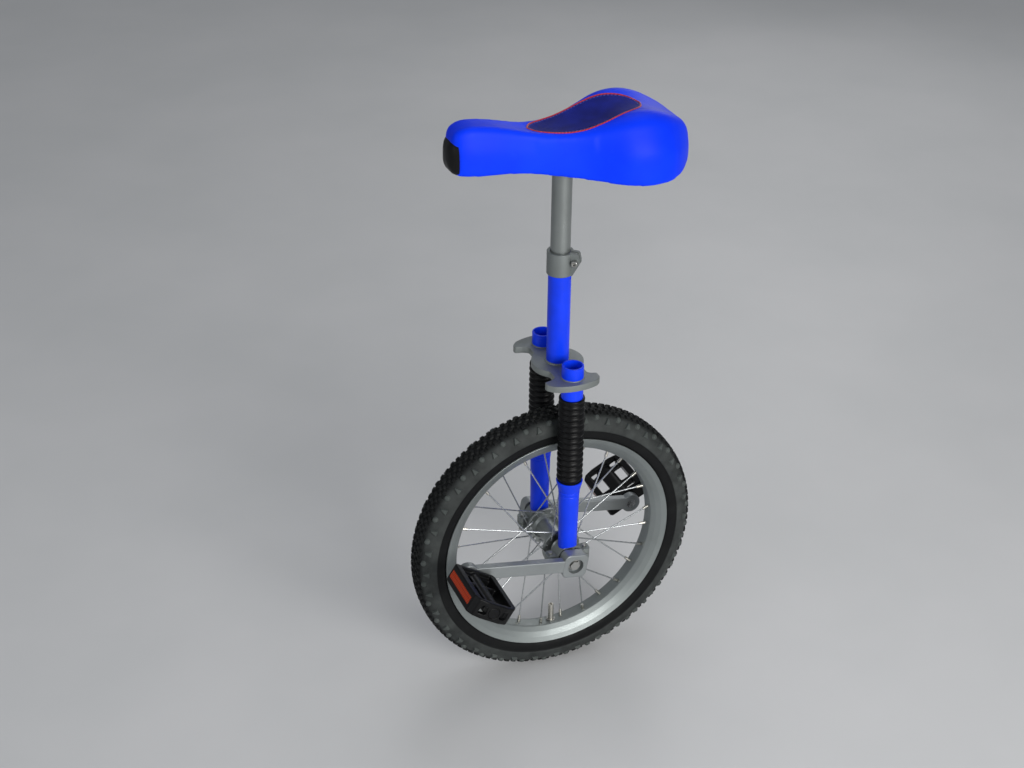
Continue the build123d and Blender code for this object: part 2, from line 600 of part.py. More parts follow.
# ================================================================ pedal bodies
for side, s in SIDES:
    t = radians(PEDAL_PITCH[side])
    cx = crank_x * s
    centre = (cx * CRANK_LEN) + Vector(0, 0, AXLE_Z)
    # pedal plane: local x fore-aft (turned with the pedal), local normal along +Y or -Y
    px = Vector(cos(t), 0, -sin(t))
    pz = Vector(sin(t), 0, cos(t))
    side_pl = Plane(origin=centre, x_dir=px, z_dir=(0, s, 0))
    top_pl = Plane(origin=centre, x_dir=px, z_dir=pz)
    midy = s * (PEDAL_IN + PEDAL_OUT) / 2
    ylen = PEDAL_OUT - PEDAL_IN
    with BuildPart() as pedal_body:
        with BuildSketch(top_pl.offset(-PEDAL_HH)) as plan:
            with BuildLine():
                Polyline((PEDAL_HW - 3, s * PEDAL_IN), (PEDAL_HW, s * (PEDAL_IN + 4)), (PEDAL_HW, s * (PEDAL_OUT - 10)), (PEDAL_HW - 6, s * (PEDAL_OUT - 3)), (PEDAL_HW - 18, s * PEDAL_OUT),
                         (-PEDAL_HW + 18, s * PEDAL_OUT), (-PEDAL_HW + 6, s * (PEDAL_OUT - 3)), (-PEDAL_HW, s * (PEDAL_OUT - 10)), (-PEDAL_HW, s * (PEDAL_IN + 4)), (-PEDAL_HW + 3, s * PEDAL_IN), close=True)
            make_face()
            fillet(plan.vertices(), 2.0)
        extrude(amount=2 * PEDAL_HH)
        fillet(pedal_body.faces().filter_by(lambda f: abs(abs(f.center().Y - midy)) < 3 and abs(f.normal_at().dot(pz)) > 0.99).edges(), 1.4)
        # the middle, cleared to a barrel and a low web
        with BuildSketch(side_pl.offset(PEDAL_IN + 6)) as waist:
            RectangleRounded(47.0, 30.0, 2.0)
            Circle(9.8, mode=Mode.SUBTRACT)
            Rectangle(47.2, 13.6, mode=Mode.SUBTRACT)
        extrude(amount=PEDAL_OUT - PEDAL_IN - 13, mode=Mode.SUBTRACT)
        # two foot windows each side of the barrel, through the web
        with BuildSketch(top_pl.offset(-PEDAL_HH - 1)):
            with Locations((16.8, s * (PEDAL_IN + 54)), (-16.8, s * (PEDAL_IN + 54))):
                RectangleRounded(13.4, 44.0, 2.5)
            with Locations((16.8, s * (PEDAL_IN + 19)), (-16.8, s * (PEDAL_IN + 19))):
                RectangleRounded(13.4, 17.0, 2.5)
        extrude(amount=2 * PEDAL_HH + 2, mode=Mode.SUBTRACT)
        # windows in the outer end plate
        with BuildSketch(side_pl.offset(PEDAL_OUT - 12)) as ports:
            for sx in (1, -1):
                with BuildLine():
                    Polyline((sx * 10.2, 5.4), (sx * 22.0, 6.0), (sx * 19.6, -6.0), (sx * 12.6, -5.4), close=True)
                make_face()
            fillet(ports.vertices(), 1.2)
        extrude(amount=20, mode=Mode.SUBTRACT)
        # reflector recesses in both rails
        for fa in (1, -1):
            with BuildSketch(top_pl.offset(-5.2)):
                with Locations((fa * PEDAL_HW, s * (PEDAL_IN + 38))):
                    Rectangle(3.2, 62.4)
            extrude(amount=10.4, mode=Mode.SUBTRACT)
        # bore for the bushings, open at the inner end, and the recess behind the dust cap
        with BuildSketch(side_pl.offset(PEDAL_IN - 1)):
            Circle(7.3)
        extrude(amount=PEDAL_OUT - PEDAL_IN + 2, mode=Mode.SUBTRACT)
        with BuildSketch(side_pl.offset(PEDAL_OUT - 3.5)):
            Circle(8.0)
        extrude(amount=6, mode=Mode.SUBTRACT)
    save(pedal_body.part, "pedal_body_" + side)

    with BuildPart() as reflectors:
        for fa in (1, -1):
            with BuildSketch(top_pl.offset(-5.2)):
                with Locations((fa * (PEDAL_HW - 0.85), s * (PEDAL_IN + 38))):
                    Rectangle(1.5, 62.4)
            extrude(amount=10.4)
    save(reflectors.part, "pedal_reflectors_" + side)

    with BuildPart() as pedal_bushings:
        for y0, y1, rin in ((PEDAL_IN + 0.4, PEDAL_IN + 16, 6.05), (136.0, 152.6, 4.55)):
            with BuildSketch(side_pl.offset(y0)):
                Circle(7.3)
                Circle(rin, mode=Mode.SUBTRACT)
            extrude(amount=y1 - y0)
    save(pedal_bushings.part, "pedal_bushings_" + side)

    with BuildPart() as pedal_cap:
        with BuildSketch(side_pl.offset(PEDAL_OUT - 3.4)):
            Circle(8.0)
        extrude(amount=3.4)
        fillet(pedal_cap.edges().filter_by(GeomType.CIRCLE).sort_by(Axis.Y)[-1 if s > 0 else 0], 1.2)
    save(pedal_cap.part, "pedal_dust_cap_" + side)

# ================================================================= seat body
with BuildPart() as seat_post:
    with BuildSketch(Plane.XY.offset(POST_BOT)):
        Circle(POST_R)
        Circle(11.0, mode=Mode.SUBTRACT)
    extrude(amount=POST_TOP - POST_BOT)
    chamfer(seat_post.edges().filter_by(GeomType.CIRCLE).sort_by(Axis.Z)[0:1], 0.6)
save(seat_post.part, "seat_post")

PLATE_T = 4.0
stud_spots = [(27, 9.5), (27, -9.5), (-29, 17.5), (-29, -17.5)]
with BuildPart() as saddle_bracket:
    with BuildSketch(Plane.XY.offset(POST_TOP)) as br_sk:
        with BuildLine():
            Polyline((36, 16), (36, -16), (-38, -27), (-38, 27), close=True)
        make_face()
        fillet(br_sk.vertices(), 6)
        with Locations(*stud_spots):
            Circle(3.2, mode=Mode.SUBTRACT)
    extrude(amount=PLATE_T)
    with BuildSketch(Plane.XY.offset(POST_TOP - 9)):
        Circle(POST_R + 2.0)
        Circle(POST_R, mode=Mode.SUBTRACT)
    extrude(amount=9)
    for ang in (0, 90, 180, 270):
        web = Plane(origin=(0, 0, 0), x_dir=(cos(radians(ang)), sin(radians(ang)), 0), z_dir=(-sin(radians(ang)), cos(radians(ang)), 0))
        reach = 23 if ang in (0, 180) else 19
        with BuildSketch(web.offset(-1.5)):
            with BuildLine():
                Polyline((POST_R + 1.5, -(POST_TOP - 8)), (POST_R + 1.5, -(POST_TOP + 0.5)), (reach, -(POST_TOP + 0.5)), close=True) if web.y_dir.Z < 0 else Polyline(
                    (POST_R + 1.5, POST_TOP - 8), (POST_R + 1.5, POST_TOP + 0.5), (reach, POST_TOP + 0.5), close=True)
            make_face()
        extrude(amount=3)
save(saddle_bracket.part, "saddle_bracket")

# saddle sections: X, half width at the skirt, half width at the ridge, skirt bottom, ridge height, crown dip, height of the widest line
SECTIONS = [
    (145.5, 19.0, 11.0, 766.0, 811.0, 0.0),
    (139.0, 24.0, 14.0, 763.0, 819.0, 0.0),
    (126.0, 26.0, 15.0, 762.0, 822.0, 0.0),
    (94.0, 27.0, 16.0, 760.0, 819.0, 0.5),
    (59.0, 28.0, 18.5, 756.5, 809.5, 1.0),
    (28.0, 33.0, 24.5, 751.5, 803.5, 1.5),
    (-3.0, 42.0, 31.5, 747.0, 803.5, 2.5),
    (-28.0, 54.0, 38.5, 743.0, 809.5, 4.0),
    (-50.0, 67.0, 44.5, 740.5, 817.5, 5.0),
    (-72.0, 75.5, 47.0, 738.5, 823.0, 5.0),
    (-94.0, 76.0, 46.5, 738.0, 822.5, 4.0),
    (-114.0, 71.5, 44.0, 738.5, 816.5, 2.0),
    (-128.0, 62.5, 39.0, 739.5, 810.0, 0.8),
    (-140.0, 51.0, 32.0, 741.5, 803.0, 0.3),
    (-150.0, 38.0, 24.0, 743.5, 796.0, 0.0),
    (-158.0, 26.0, 15.0, 746.5, 785.0, 0.0),
    (-163.5, 15.0, 8.0, 751.0, 773.0, 0.0),
]


def section(x, w, ridge, zb, zt, dip):
    h = zt - zb
    return [(w * 0.93, zb), (w, zb + 0.22 * h), (w * 0.985, zb + 0.5 * h), ((w + ridge) / 2 * 1.02, zb + 0.85 * h), (ridge, zt - 0.4), (ridge * 0.5, zt - dip * 0.6), (0, zt - dip),
            (-ridge * 0.5, zt - dip * 0.6), (-ridge, zt - 0.4), (-(w + ridge) / 2 * 1.02, zb + 0.85 * h), (-w * 0.985, zb + 0.5 * h), (-w, zb + 0.22 * h), (-w * 0.93, zb)]


BASE_IN = 9.0            # skirt thickness around the base
BASE_DEEP = 24.0         # depth of the base's underside above the skirt's edge
with BuildPart() as saddle_cushion:
    for sec in SECTIONS:
        with BuildSketch(Plane(origin=(sec[0], 0, 0), x_dir=(0, 1, 0), z_dir=(1, 0, 0))):
            pts = section(*sec)
            with BuildLine():
                Spline(*pts)
                Line(pts[-1], pts[0])
            make_face()
    loft()
    for sec in SECTIONS[2:-3]:
        x, w, ridge, zb, zt, dip = sec
        with BuildSketch(Plane(origin=(x, 0, 0), x_dir=(0, 1, 0), z_dir=(1, 0, 0))):
            with BuildLine():
                Polyline((w - BASE_IN, zb - 3), (w - BASE_IN, zb + BASE_DEEP), (-w + BASE_IN, zb + BASE_DEEP), (-w + BASE_IN, zb - 3), close=True)
            make_face()
    loft(ruled=True, mode=Mode.SUBTRACT)
save(saddle_cushion.part, "saddle_cushion")

with BuildPart() as bracket_pad:
    for sec in SECTIONS[2:-3]:
        x, w, ridge, zb, zt, dip = sec
        with BuildSketch(Plane(origin=(x, 0, 0), x_dir=(0, 1, 0), z_dir=(1, 0, 0))):
            with BuildLine():
                Polyline((w - BASE_IN - 0.3, 740), (w - BASE_IN - 0.3, zb + BASE_DEEP - 0.3), (-w + BASE_IN + 0.3, zb + BASE_DEEP - 0.3), (-w + BASE_IN + 0.3, 740), close=True)
            make_face()
    loft(ruled=True)
    with BuildSketch(Plane.XY.offset(POST_TOP + PLATE_T)) as pad_sk:
        with BuildLine():
            Polyline((37, 17), (37, -17), (-39, -28), (-39, 28), close=True)
        make_face()
        fillet(pad_sk.vertices(), 6)
    extrude(amount=30, mode=Mode.INTERSECT)

with BuildPart() as saddle_base:
    for sec in SECTIONS[2:-3]:
        x, w, ridge, zb, zt, dip = sec
        with BuildSketch(Plane(origin=(x, 0, 0), x_dir=(0, 1, 0), z_dir=(1, 0, 0))):
            with BuildLine():
                Polyline((w - BASE_IN - 0.3, zb + BASE_DEEP - 4.2), (w - BASE_IN - 0.3, zb + BASE_DEEP - 0.3), (-w + BASE_IN + 0.3, zb + BASE_DEEP - 0.3), (-w + BASE_IN + 0.3, zb + BASE_DEEP - 4.2), close=True)
            make_face()
    loft(ruled=True)
    # flat pad that the bracket bolts against
    add(bracket_pad.part)
    with BuildSketch(Plane.XY.offset(POST_TOP + PLATE_T)):
        with Locations(*stud_spots):
            Circle(3.0)
    extrude(amount=8.5, mode=Mode.SUBTRACT)
save(saddle_base.part, "saddle_base")

with BuildPart() as saddle_bolts:
    with BuildSketch(Plane.XY.offset(POST_TOP - 4)):
        with Locations(*stud_spots):
            Circle(2.99)
    extrude(amount=4 + PLATE_T + 4.4)
    with BuildSketch(Plane.XY.offset(POST_TOP - 4.4)):
        with Locations(*stud_spots):
            RegularPolygon(5.6, 6)
    extrude(amount=4.4)
save(saddle_bolts.part, "saddle_bolts")

with BuildPart() as nose_bumper:
    with BuildSketch(Plane(origin=(145.9, 0, 0), x_dir=(0, 1, 0), z_dir=(1, 0, 0))):
        with Locations((0, 787.5)):
            RectangleRounded(37, 42, 13)
    extrude(amount=6.2)
    fillet(nose_bumper.faces().sort_by(Axis.X)[-1].edges(), 4.5)
save(nose_bumper.part, "nose_bumper")
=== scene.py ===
import bpy
import bmesh
import math
import random
from mathutils import Matrix, Vector
from mathutils.bvhtree import BVHTree


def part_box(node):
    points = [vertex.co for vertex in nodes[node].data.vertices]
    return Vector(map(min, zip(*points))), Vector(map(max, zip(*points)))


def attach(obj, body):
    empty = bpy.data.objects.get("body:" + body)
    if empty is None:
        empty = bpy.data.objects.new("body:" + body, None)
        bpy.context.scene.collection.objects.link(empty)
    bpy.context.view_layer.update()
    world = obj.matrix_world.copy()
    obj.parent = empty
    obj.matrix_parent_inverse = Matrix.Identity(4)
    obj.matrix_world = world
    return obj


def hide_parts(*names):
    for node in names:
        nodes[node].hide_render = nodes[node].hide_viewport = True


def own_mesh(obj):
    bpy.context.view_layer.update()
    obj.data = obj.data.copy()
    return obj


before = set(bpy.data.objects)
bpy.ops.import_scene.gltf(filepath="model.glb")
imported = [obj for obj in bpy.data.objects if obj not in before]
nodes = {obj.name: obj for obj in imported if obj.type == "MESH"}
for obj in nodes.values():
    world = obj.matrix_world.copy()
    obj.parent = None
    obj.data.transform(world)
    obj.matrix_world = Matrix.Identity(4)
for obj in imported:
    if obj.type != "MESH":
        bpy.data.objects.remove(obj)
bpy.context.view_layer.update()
PI = math.pi


def lo_hi(node):
    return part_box(node)


# ------------------------------------------------------------------ node materials
class Mat:
    """Small helper that builds one procedural material."""

    def __init__(self, name):
        self.m = bpy.data.materials.new(name)
        self.m.use_nodes = True
        self.t = self.m.node_tree
        self.b = self.t.nodes["Principled BSDF"]
        self.co = self.t.nodes.new("ShaderNodeTexCoord").outputs["Object"]

    def set(self, **kw):
        for k, v in kw.items():
            s = self.b.inputs[k.replace("_", " ")]
            s.default_value = v
        return self

    def node(self, kind, **kw):
        n = self.t.nodes.new(kind)
        for k, v in kw.items():
            setattr(n, k, v)
        return n

    def link(self, a, b):
        self.t.links.new(a, b)

    def scaled(self, scale=(1, 1, 1), rot=(0, 0, 0), loc=(0, 0, 0)):
        mp = self.node("ShaderNodeMapping")
        mp.inputs["Scale"].default_value = scale
        mp.inputs["Rotation"].default_value = rot
        mp.inputs["Location"].default_value = loc
        self.link(self.co, mp.inputs["Vector"])
        return mp.outputs["Vector"]

    def noise(self, scale, detail=4, rough=0.55, vec=None, dist=0.0):
        n = self.node("ShaderNodeTexNoise")
        n.inputs["Scale"].default_value = scale
        n.inputs["Detail"].default_value = detail
        n.inputs["Roughness"].default_value = rough
        n.inputs["Distortion"].default_value = dist
        self.link(vec if vec is not None else self.co, n.inputs["Vector"])
        return n.outputs["Fac"]

    def voronoi(self, scale, feature="F1", vec=None, out="Distance", rnd=1.0):
        n = self.node("ShaderNodeTexVoronoi", feature=feature)
        n.inputs["Scale"].default_value = scale
        n.inputs["Randomness"].default_value = rnd
        self.link(vec if vec is not None else self.co, n.inputs["Vector"])
        return n.outputs[out]

    def ramp(self, fac, stops):
        n = self.node("ShaderNodeValToRGB")
        e = n.color_ramp.elements
        while len(e) > 1:
            e.remove(e[-1])
        e[0].position, e[0].color = stops[0][0], rgba(stops[0][1])
        for p, c in stops[1:]:
            k = e.new(p)
            k.color = rgba(c)
        self.link(fac, n.inputs["Fac"])
        return n.outputs["Color"]

    def math(self, op, a, b=None, c=None, clamp=False):
        n = self.node("ShaderNodeMath", operation=op)
        n.use_clamp = clamp
        for i, v in enumerate((a, b, c)):
            if v is None:
                continue
            if hasattr(v, "links"):
                self.link(v, n.inputs[i])
            else:
                n.inputs[i].default_value = v
        return n.outputs[0]

    def mix(self, fac, a, b):
        n = self.node("ShaderNodeMix", data_type="RGBA")
        for key, v in (("Factor", fac), ("A", a), ("B", b)):
            sock = [s for s in n.inputs if s.name == key and (s.type == "RGBA" if key != "Factor" else s.type == "VALUE")][0]
            if hasattr(v, "links"):
                self.link(v, sock)
            else:
                sock.default_value = v if key == "Factor" else rgba(v)
        return [s for s in n.outputs if s.type == "RGBA"][0]

    def mapr(self, v, a, b, c, d, clamp=True):
        n = self.node("ShaderNodeMapRange")
        n.clamp = clamp
        self.link(v, n.inputs["Value"])
        for k, x in zip(("From Min", "From Max", "To Min", "To Max"), (a, b, c, d)):
            n.inputs[k].default_value = x
        return n.outputs["Result"]

    def bump(self, *layers, edge=0.0):
        """layers: (height socket, strength, distance); edge: rounding radius seen at sharp edges."""
        normal = None
        if edge:
            bv = self.node("ShaderNodeBevel", samples=4)
            bv.inputs["Radius"].default_value = edge
            normal = bv.outputs["Normal"]
        for h, s, d in layers:
            n = self.node("ShaderNodeBump")
            n.inputs["Strength"].default_value = s
            n.inputs["Distance"].default_value = d
            self.link(h, n.inputs["Height"])
            if normal is not None:
                self.link(normal, n.inputs["Normal"])
            normal = n.outputs["Normal"]
        self.link(normal, self.b.inputs["Normal"])
        return self

    def color(self, sock):
        self.link(sock, self.b.inputs["Base Color"])
        return self

    def rough(self, sock):
        self.link(sock, self.b.inputs["Roughness"])
        return self


def rgba(c):
    return tuple(c) if len(c) == 4 else (c[0], c[1], c[2], 1.0)


def paint(name, col, rough=0.3, coat=0.35, wear=0.25):
    """Sprayed and stoved paint: slight orange peel, fine scuffs, dust that dulls it in patches."""
    m = Mat(name)
    broad = m.noise(18, 3)
    fine = m.noise(260, 5, 0.65)
    dark = tuple(x * 0.78 for x in col)
    base = m.mix(m.mapr(broad, 0.35, 0.7, 0.0, 1.0), col, dark)
    specks = m.voronoi(150, "F1")
    chip = m.mapr(m.math("ADD", specks, m.math("MULTIPLY", broad, 0.10)), 0.072, 0.062, 0.0, wear)
    base = m.mix(chip, base, (0.16, 0.17, 0.18))
    m.color(base)
    streak = m.noise(40, 4, 0.6, m.scaled((1, 1, 0.12)))
    m.rough(m.mapr(m.math("ADD", streak, m.math("MULTIPLY", fine, 0.4)), 0.45, 1.0, rough * 0.75, rough * 1.6))
    m.set(Metallic=0.0, Coat_Weight=coat, Coat_Roughness=0.14, Specular_IOR_Level=0.22)
    m.bump((m.noise(420, 3, 0.5), 0.06, 0.0004), (m.noise(1500, 2), 0.03, 0.0002), edge=0.0005)
    return m.m


def metal(name, col, rough=0.38, aniso=0.0, brushed=None, scratch=0.5, metallic=1.0, edge=0.0005, coat=0.0, cast=0.0):
    """Metal with its own grain: brushed along one way, or cast, with fine scratches and darker pores."""
    m = Mat(name)
    broad = m.noise(14, 3)
    vec = m.scaled(brushed) if brushed else None
    grain = m.noise(700 if brushed else 420, 4, 0.7, vec)
    c2 = tuple(x * 0.80 for x in col)
    base = m.mix(m.mapr(broad, 0.35, 0.75, 0.0, 1.0), col, c2)
    pores = m.mapr(m.noise(260, 6, 0.75), 0.62, 0.78, 0.0, 0.45)
    base = m.mix(pores, base, tuple(x * 0.55 for x in col))
    m.color(base)
    scr = m.mapr(m.voronoi(90, "DISTANCE_TO_EDGE", m.scaled((1, 7, 1), rot=(0.3, 0.8, 0.4))), 0.0, 0.012, 1.0, 0.0)
    r = m.math("ADD", m.mapr(grain, 0.3, 0.75, rough * 0.8, rough * 1.25), m.math("MULTIPLY", scr, -0.08 * scratch))
    m.rough(m.math("ADD", r, m.mapr(broad, 0.3, 0.8, -0.03, 0.07), clamp=True))
    m.set(Metallic=metallic, Anisotropic=aniso, Coat_Weight=coat)
    layers = [(grain, 0.10, 0.0002), (scr, 0.10 * scratch, 0.00015)]
    if cast:
        layers.append((m.noise(330, 6, 0.7), cast, 0.0005))
    m.bump(*layers, edge=edge)
    return m.m


# dust colour: greenish-grey; on the tyre's sidewall band it also serves as painted sheen
def rubber(name, col, rough=0.55, grain=900, dust=0.25, sheen=0.0, edge=0.0004, dust_and_sheen_col=(0.15, 0.165, 0.16), band=False):
    m = Mat(name)
    broad = m.noise(22, 5, 0.6)
    d = m.mapr(broad, 0.5, 0.8, 0.0, dust)
    if band:
        # distance from the axle: clean black band at the rim; above it and between the blocks a greenish-grey tone
        # that is partly road dust and partly painted sheen of the lit sidewall
        sep = m.node("ShaderNodeSeparateXYZ")
        m.link(m.co, sep.inputs[0])
        zz = m.math("SUBTRACT", sep.outputs[2], AXLE_H)
        rr = m.math("SQRT", m.math("ADD", m.math("MULTIPLY", sep.outputs[0], sep.outputs[0]), m.math("MULTIPLY", zz, zz)))
        wall_dust_and_sheen = m.math("MULTIPLY", m.mapr(rr, 0.1770, 0.1780, 0.0, 1.0), m.mapr(rr, 0.1945, 0.1990, 1.0, 0.10))
        d = m.math("ADD", m.math("MULTIPLY", wall_dust_and_sheen, m.mapr(m.noise(38, 5, 0.62), 0.3, 0.75, 0.12, 0.34)), m.math("MULTIPLY", d, m.mapr(wall_dust_and_sheen, 0.0, 1.0, 0.25, 0.8)))
    m.color(m.mix(d, col, dust_and_sheen_col))
    m.rough(m.mapr(m.noise(60, 4), 0.3, 0.75, rough * 0.82, rough * 1.25))
    m.set(Specular_IOR_Level=0.14, Sheen_Weight=sheen, Sheen_Roughness=0.5)
    m.bump((m.noise(grain, 3, 0.6), 0.16, 0.0003), (m.voronoi(grain * 0.5), 0.05, 0.0002), edge=edge)
    return m.m


def plastic(name, col, rough=0.42, texture=1100, strength=0.14, edge=0.0006, wear=0.3):
    """Moulded plastic with spark-eroded texture, greyer in scattered rubbed patches."""
    m = Mat(name)
    broad = m.noise(30, 4)
    scuff = m.noise(70, 6, 0.75, m.scaled((1, 4, 1), rot=(0.2, 0.1, 0.7)))
    sc = m.mapr(scuff, 0.62, 0.72, 0.0, wear)
    m.color(m.mix(sc, m.mix(m.mapr(broad, 0.3, 0.7, 0, 1), col, tuple(x * 1.6 for x in col)), (0.10, 0.10, 0.10)))
    m.rough(m.mapr(broad, 0.3, 0.75, rough * 0.8, rough * 1.2))
    m.set(Specular_IOR_Level=0.15)
    m.bump((m.voronoi(texture), strength, 0.0002), (m.noise(240, 4), 0.08, 0.0003), edge=edge)
    return m.m


AXLE_H = 0.203
BLUE = (0.002, 0.046, 0.90)
M = {}
M["blue"] = paint("paint_blue", BLUE, rough=0.36, coat=0.07)
M["grey"] = metal("satin_grey", (0.215, 0.235, 0.232), rough=0.46, metallic=0.55, cast=0.05)
M["rimgrey"] = metal("rim_alloy", (0.245, 0.270, 0.268), rough=0.42, metallic=0.60, brushed=(1, 0.08, 1), scratch=0.7)
M["crank"] = metal("forged_alloy", (0.27, 0.29, 0.295), rough=0.42, metallic=0.60, cast=0.09)
M["post"] = metal("plated_post", (0.26, 0.28, 0.275), rough=0.34, metallic=0.75, brushed=(1, 1, 0.05), aniso=0.4)
M["zinc"] = metal("zinc_plate", (0.40, 0.40, 0.385), rough=0.36)
M["steel"] = metal("ground_steel", (0.45, 0.46, 0.47), rough=0.26)
M["spoke"] = metal("drawn_wire", (0.50, 0.52, 0.53), rough=0.26, edge=0.0)
M["nipple"] = metal("nickel_brass", (0.64, 0.62, 0.56), rough=0.28, edge=0.0)
M["hub"] = metal("hub_alloy", (0.30, 0.32, 0.315), rough=0.38, brushed=(1, 0.1, 1))
# sidewall band: greenish-grey tone that is partly dust and partly painted sheen
M["tyre"] = rubber("tyre_rubber", (0.0048, 0.0052, 0.0056), rough=0.58, grain=850, dust=0.12, band=True)
# side marks: paler grey rubber is a painted highlight for their lit raised faces; the dust patches on them are dust
M["mark"] = rubber("tyre_marks", (0.060, 0.068, 0.065), rough=0.50, grain=850, dust=0.28)
M["boot"] = rubber("boot_rubber", (0.0040, 0.0040, 0.0045), rough=0.36, grain=1200, dust=0.03, sheen=0.0)
M["tube"] = rubber("butyl_tube", (0.02, 0.02, 0.02), rough=0.5)
M["tape"] = rubber("rim_tape", (0.62, 0.60, 0.52), rough=0.8, grain=500)
M["pedal"] = plastic("pedal_plastic", (0.0030, 0.0031, 0.0034), rough=0.34, wear=0.07)
M["bush"] = plastic("acetal", (0.60, 0.58, 0.50), rough=0.4)
M["base"] = plastic("base_plastic", (0.02, 0.02, 0.021), rough=0.5, texture=700)
M["bumper"] = plastic("bumper_plastic", (0.0045, 0.0045, 0.0050), rough=0.42, texture=800, wear=0.10)


def reflector_material():
    """Moulded prism lens: a fine triangular grid under a clear outer face."""
    m = Mat("reflector_lens")
    wave = []
    for ang in (0.0, PI / 3, -PI / 3):
        w = m.node("ShaderNodeTexWave", wave_type="BANDS", bands_direction="X", wave_profile="TRI")
        w.inputs["Scale"].default_value = 105
        w.inputs["Distortion"].default_value = 0
        mp = m.scaled((1, 1, 1), rot=(0, 0, ang))
        m.link(mp, w.inputs["Vector"])
        wave.append(w.outputs["Fac"])
    h = m.math("MULTIPLY", m.math("ADD", wave[0], wave[1]), wave[2])
    m.color(m.mix(m.mapr(h, 0.1, 1.2, 0, 1), (0.26, 0.014, 0.0005), (0.56, 0.055, 0.001)))
    m.set(Roughness=0.30, Coat_Weight=0.06, Coat_Roughness=0.08, Specular_IOR_Level=0.16)
    m.bump((h, 0.5, 0.0006), edge=0.0)
    return m.m


M["reflector"] = reflector_material()

# ------------------------------------------------------------------ mesh helpers


def new_obj(name, verts, faces, mat, smooth=True, angle=None):
    me = bpy.data.meshes.new(name)
    me.from_pydata([tuple(v) for v in verts], [], [tuple(f) for f in faces])
    me.validate()
    me.update()
    ob = bpy.data.objects.new(name, me)
    bpy.context.scene.collection.objects.link(ob)
    me.materials.append(mat)
    bm = bmesh.new()
    bm.from_mesh(me)
    bmesh.ops.recalc_face_normals(bm, faces=bm.faces)
    bm.to_mesh(me)
    bm.free()
    shade(ob, angle)
    return ob


def shade(ob, angle=None):
    me = ob.data
    for p in me.polygons:
        p.use_smooth = True
    if angle is not None:
        bm = bmesh.new()
        bm.from_mesh(me)
        for e in bm.edges:
            if len(e.link_faces) == 2:
                e.smooth = e.calc_face_angle(0) < angle
        bm.to_mesh(me)
        bm.free()


def apply_mods(ob):
    dg = bpy.context.evaluated_depsgraph_get()
    me = bpy.data.meshes.new_from_object(ob.evaluated_get(dg), preserve_all_data_layers=True, depsgraph=dg)
    old = ob.data
    mats = [s for s in old.materials]
    ob.modifiers.clear()
    ob.data = me
    if not me.materials:
        for x in mats:
            me.materials.append(x)
    return ob


def revolve_z(name, prof, cx, cy, mat, seg=64, closed=True, angle=None):
    """prof: list of (r, z)."""
    verts, faces = [], []
    n = len(prof)
    for i in range(seg):
        a = 2 * PI * i / seg
        for r, z in prof:
            verts.append((cx + r * math.cos(a), cy + r * math.sin(a), z))
    for i in range(seg):
        j = (i + 1) % seg
        for k in range(n if closed else n - 1):
            l = (k + 1) % n
            faces.append((i * n + k, j * n + k, j * n + l, i * n + l))
    return new_obj(name, verts, faces, mat, angle=angle)


def put(ob, body, *replaced, slot=None):
    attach(ob, body)
    if replaced:
        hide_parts(*replaced)
    return ob


# ------------------------------------------------------------------ carried-over CAD nodes
GIVE = {
    "blue": ["seat_tube", "upper_sleeve_left", "upper_sleeve_right", "lower_leg_left", "lower_leg_right"],
    "grey": ["seat_clamp", "bearing_holder_left", "bearing_holder_right", "bearing_cap_left", "bearing_cap_right", "fork_crown"],
    "crank": ["crank_left", "crank_right"],
    "rimgrey": ["rim"],
    "post": ["seat_post"],
    "zinc": ["seat_clamp_bolt", "seat_clamp_nut", "bearing_cap_bolts", "crank_bolts", "spring_plugs", "spring_rods", "saddle_bracket", "saddle_bolts", "pedal_nut_left", "pedal_nut_right", "valve_nut"],
    "steel": ["stanchion_left", "stanchion_right", "bearing_outer_races", "bearing_inner_races", "bearing_balls", "axle_spindle", "axle_spacers", "pedal_spindle_left", "pedal_spindle_right",
              "fork_spring_left", "fork_spring_right"],
    "spoke": ["spokes"],
    "nipple": ["spoke_nipples", "valve_stem"],
    "hub": ["hub_shell"],
    "tyre": ["tyre"],
    "boot": ["fork_boot_left", "fork_boot_right"],
    "tube": ["inner_tube"],
    "tape": ["rim_tape"],
    "pedal": ["pedal_body_left", "pedal_body_right", "pedal_dust_cap_left", "pedal_dust_cap_right"],
    "bush": ["pedal_bushings_left", "pedal_bushings_right", "slide_bushings"],
    "reflector": ["pedal_reflectors_left", "pedal_reflectors_right"],
    "base": ["saddle_base"],
    "bumper": ["nose_bumper"],
}
for key, names in GIVE.items():
    for n in names:
        ob = nodes[n]
        for i in range(len(ob.material_slots)):
            ob.material_slots[i].material = M[key]

AXLE = Vector((0, 0, (lo_hi("rim")[0].z + lo_hi("rim")[1].z) / 2))

# ------------------------------------------------------------------ tyre
lo, hi = lo_hi("tyre")
TR = (hi.z - lo.z) / 2               # over the blocks
K = TR / 0.203
half = [(0.0, 200.6), (3.8, 200.5), (7.5, 200.1), (11.2, 199.2), (14.6, 197.6), (17.6, 195.4), (20.2, 192.2), (22.3, 188.7), (23.8, 184.6), (24.6, 180.9), (24.8, 179.0), (24.7, 178.2),
        (24.3, 177.6), (23.7, 177.2), (23.35, 176.5), (23.3, 174.0), (22.9, 170.2), (22.0, 166.8), (20.5, 164.4), (18.9, 163.2), (18.7, 161.2), (17.3, 159.7), (16.0, 160.2), (16.7, 163.6),
        (19.9, 169.5), (21.4, 176.5), (20.8, 183.0), (17.6, 189.2), (12.0, 193.4), (6.0, 194.9), (0.0, 195.3)]
half = [(y * K / 1000, r * K / 1000) for y, r in half]
prof = [(-y, r) for y, r in half[1:-1]][::-1]
outer_n = 20
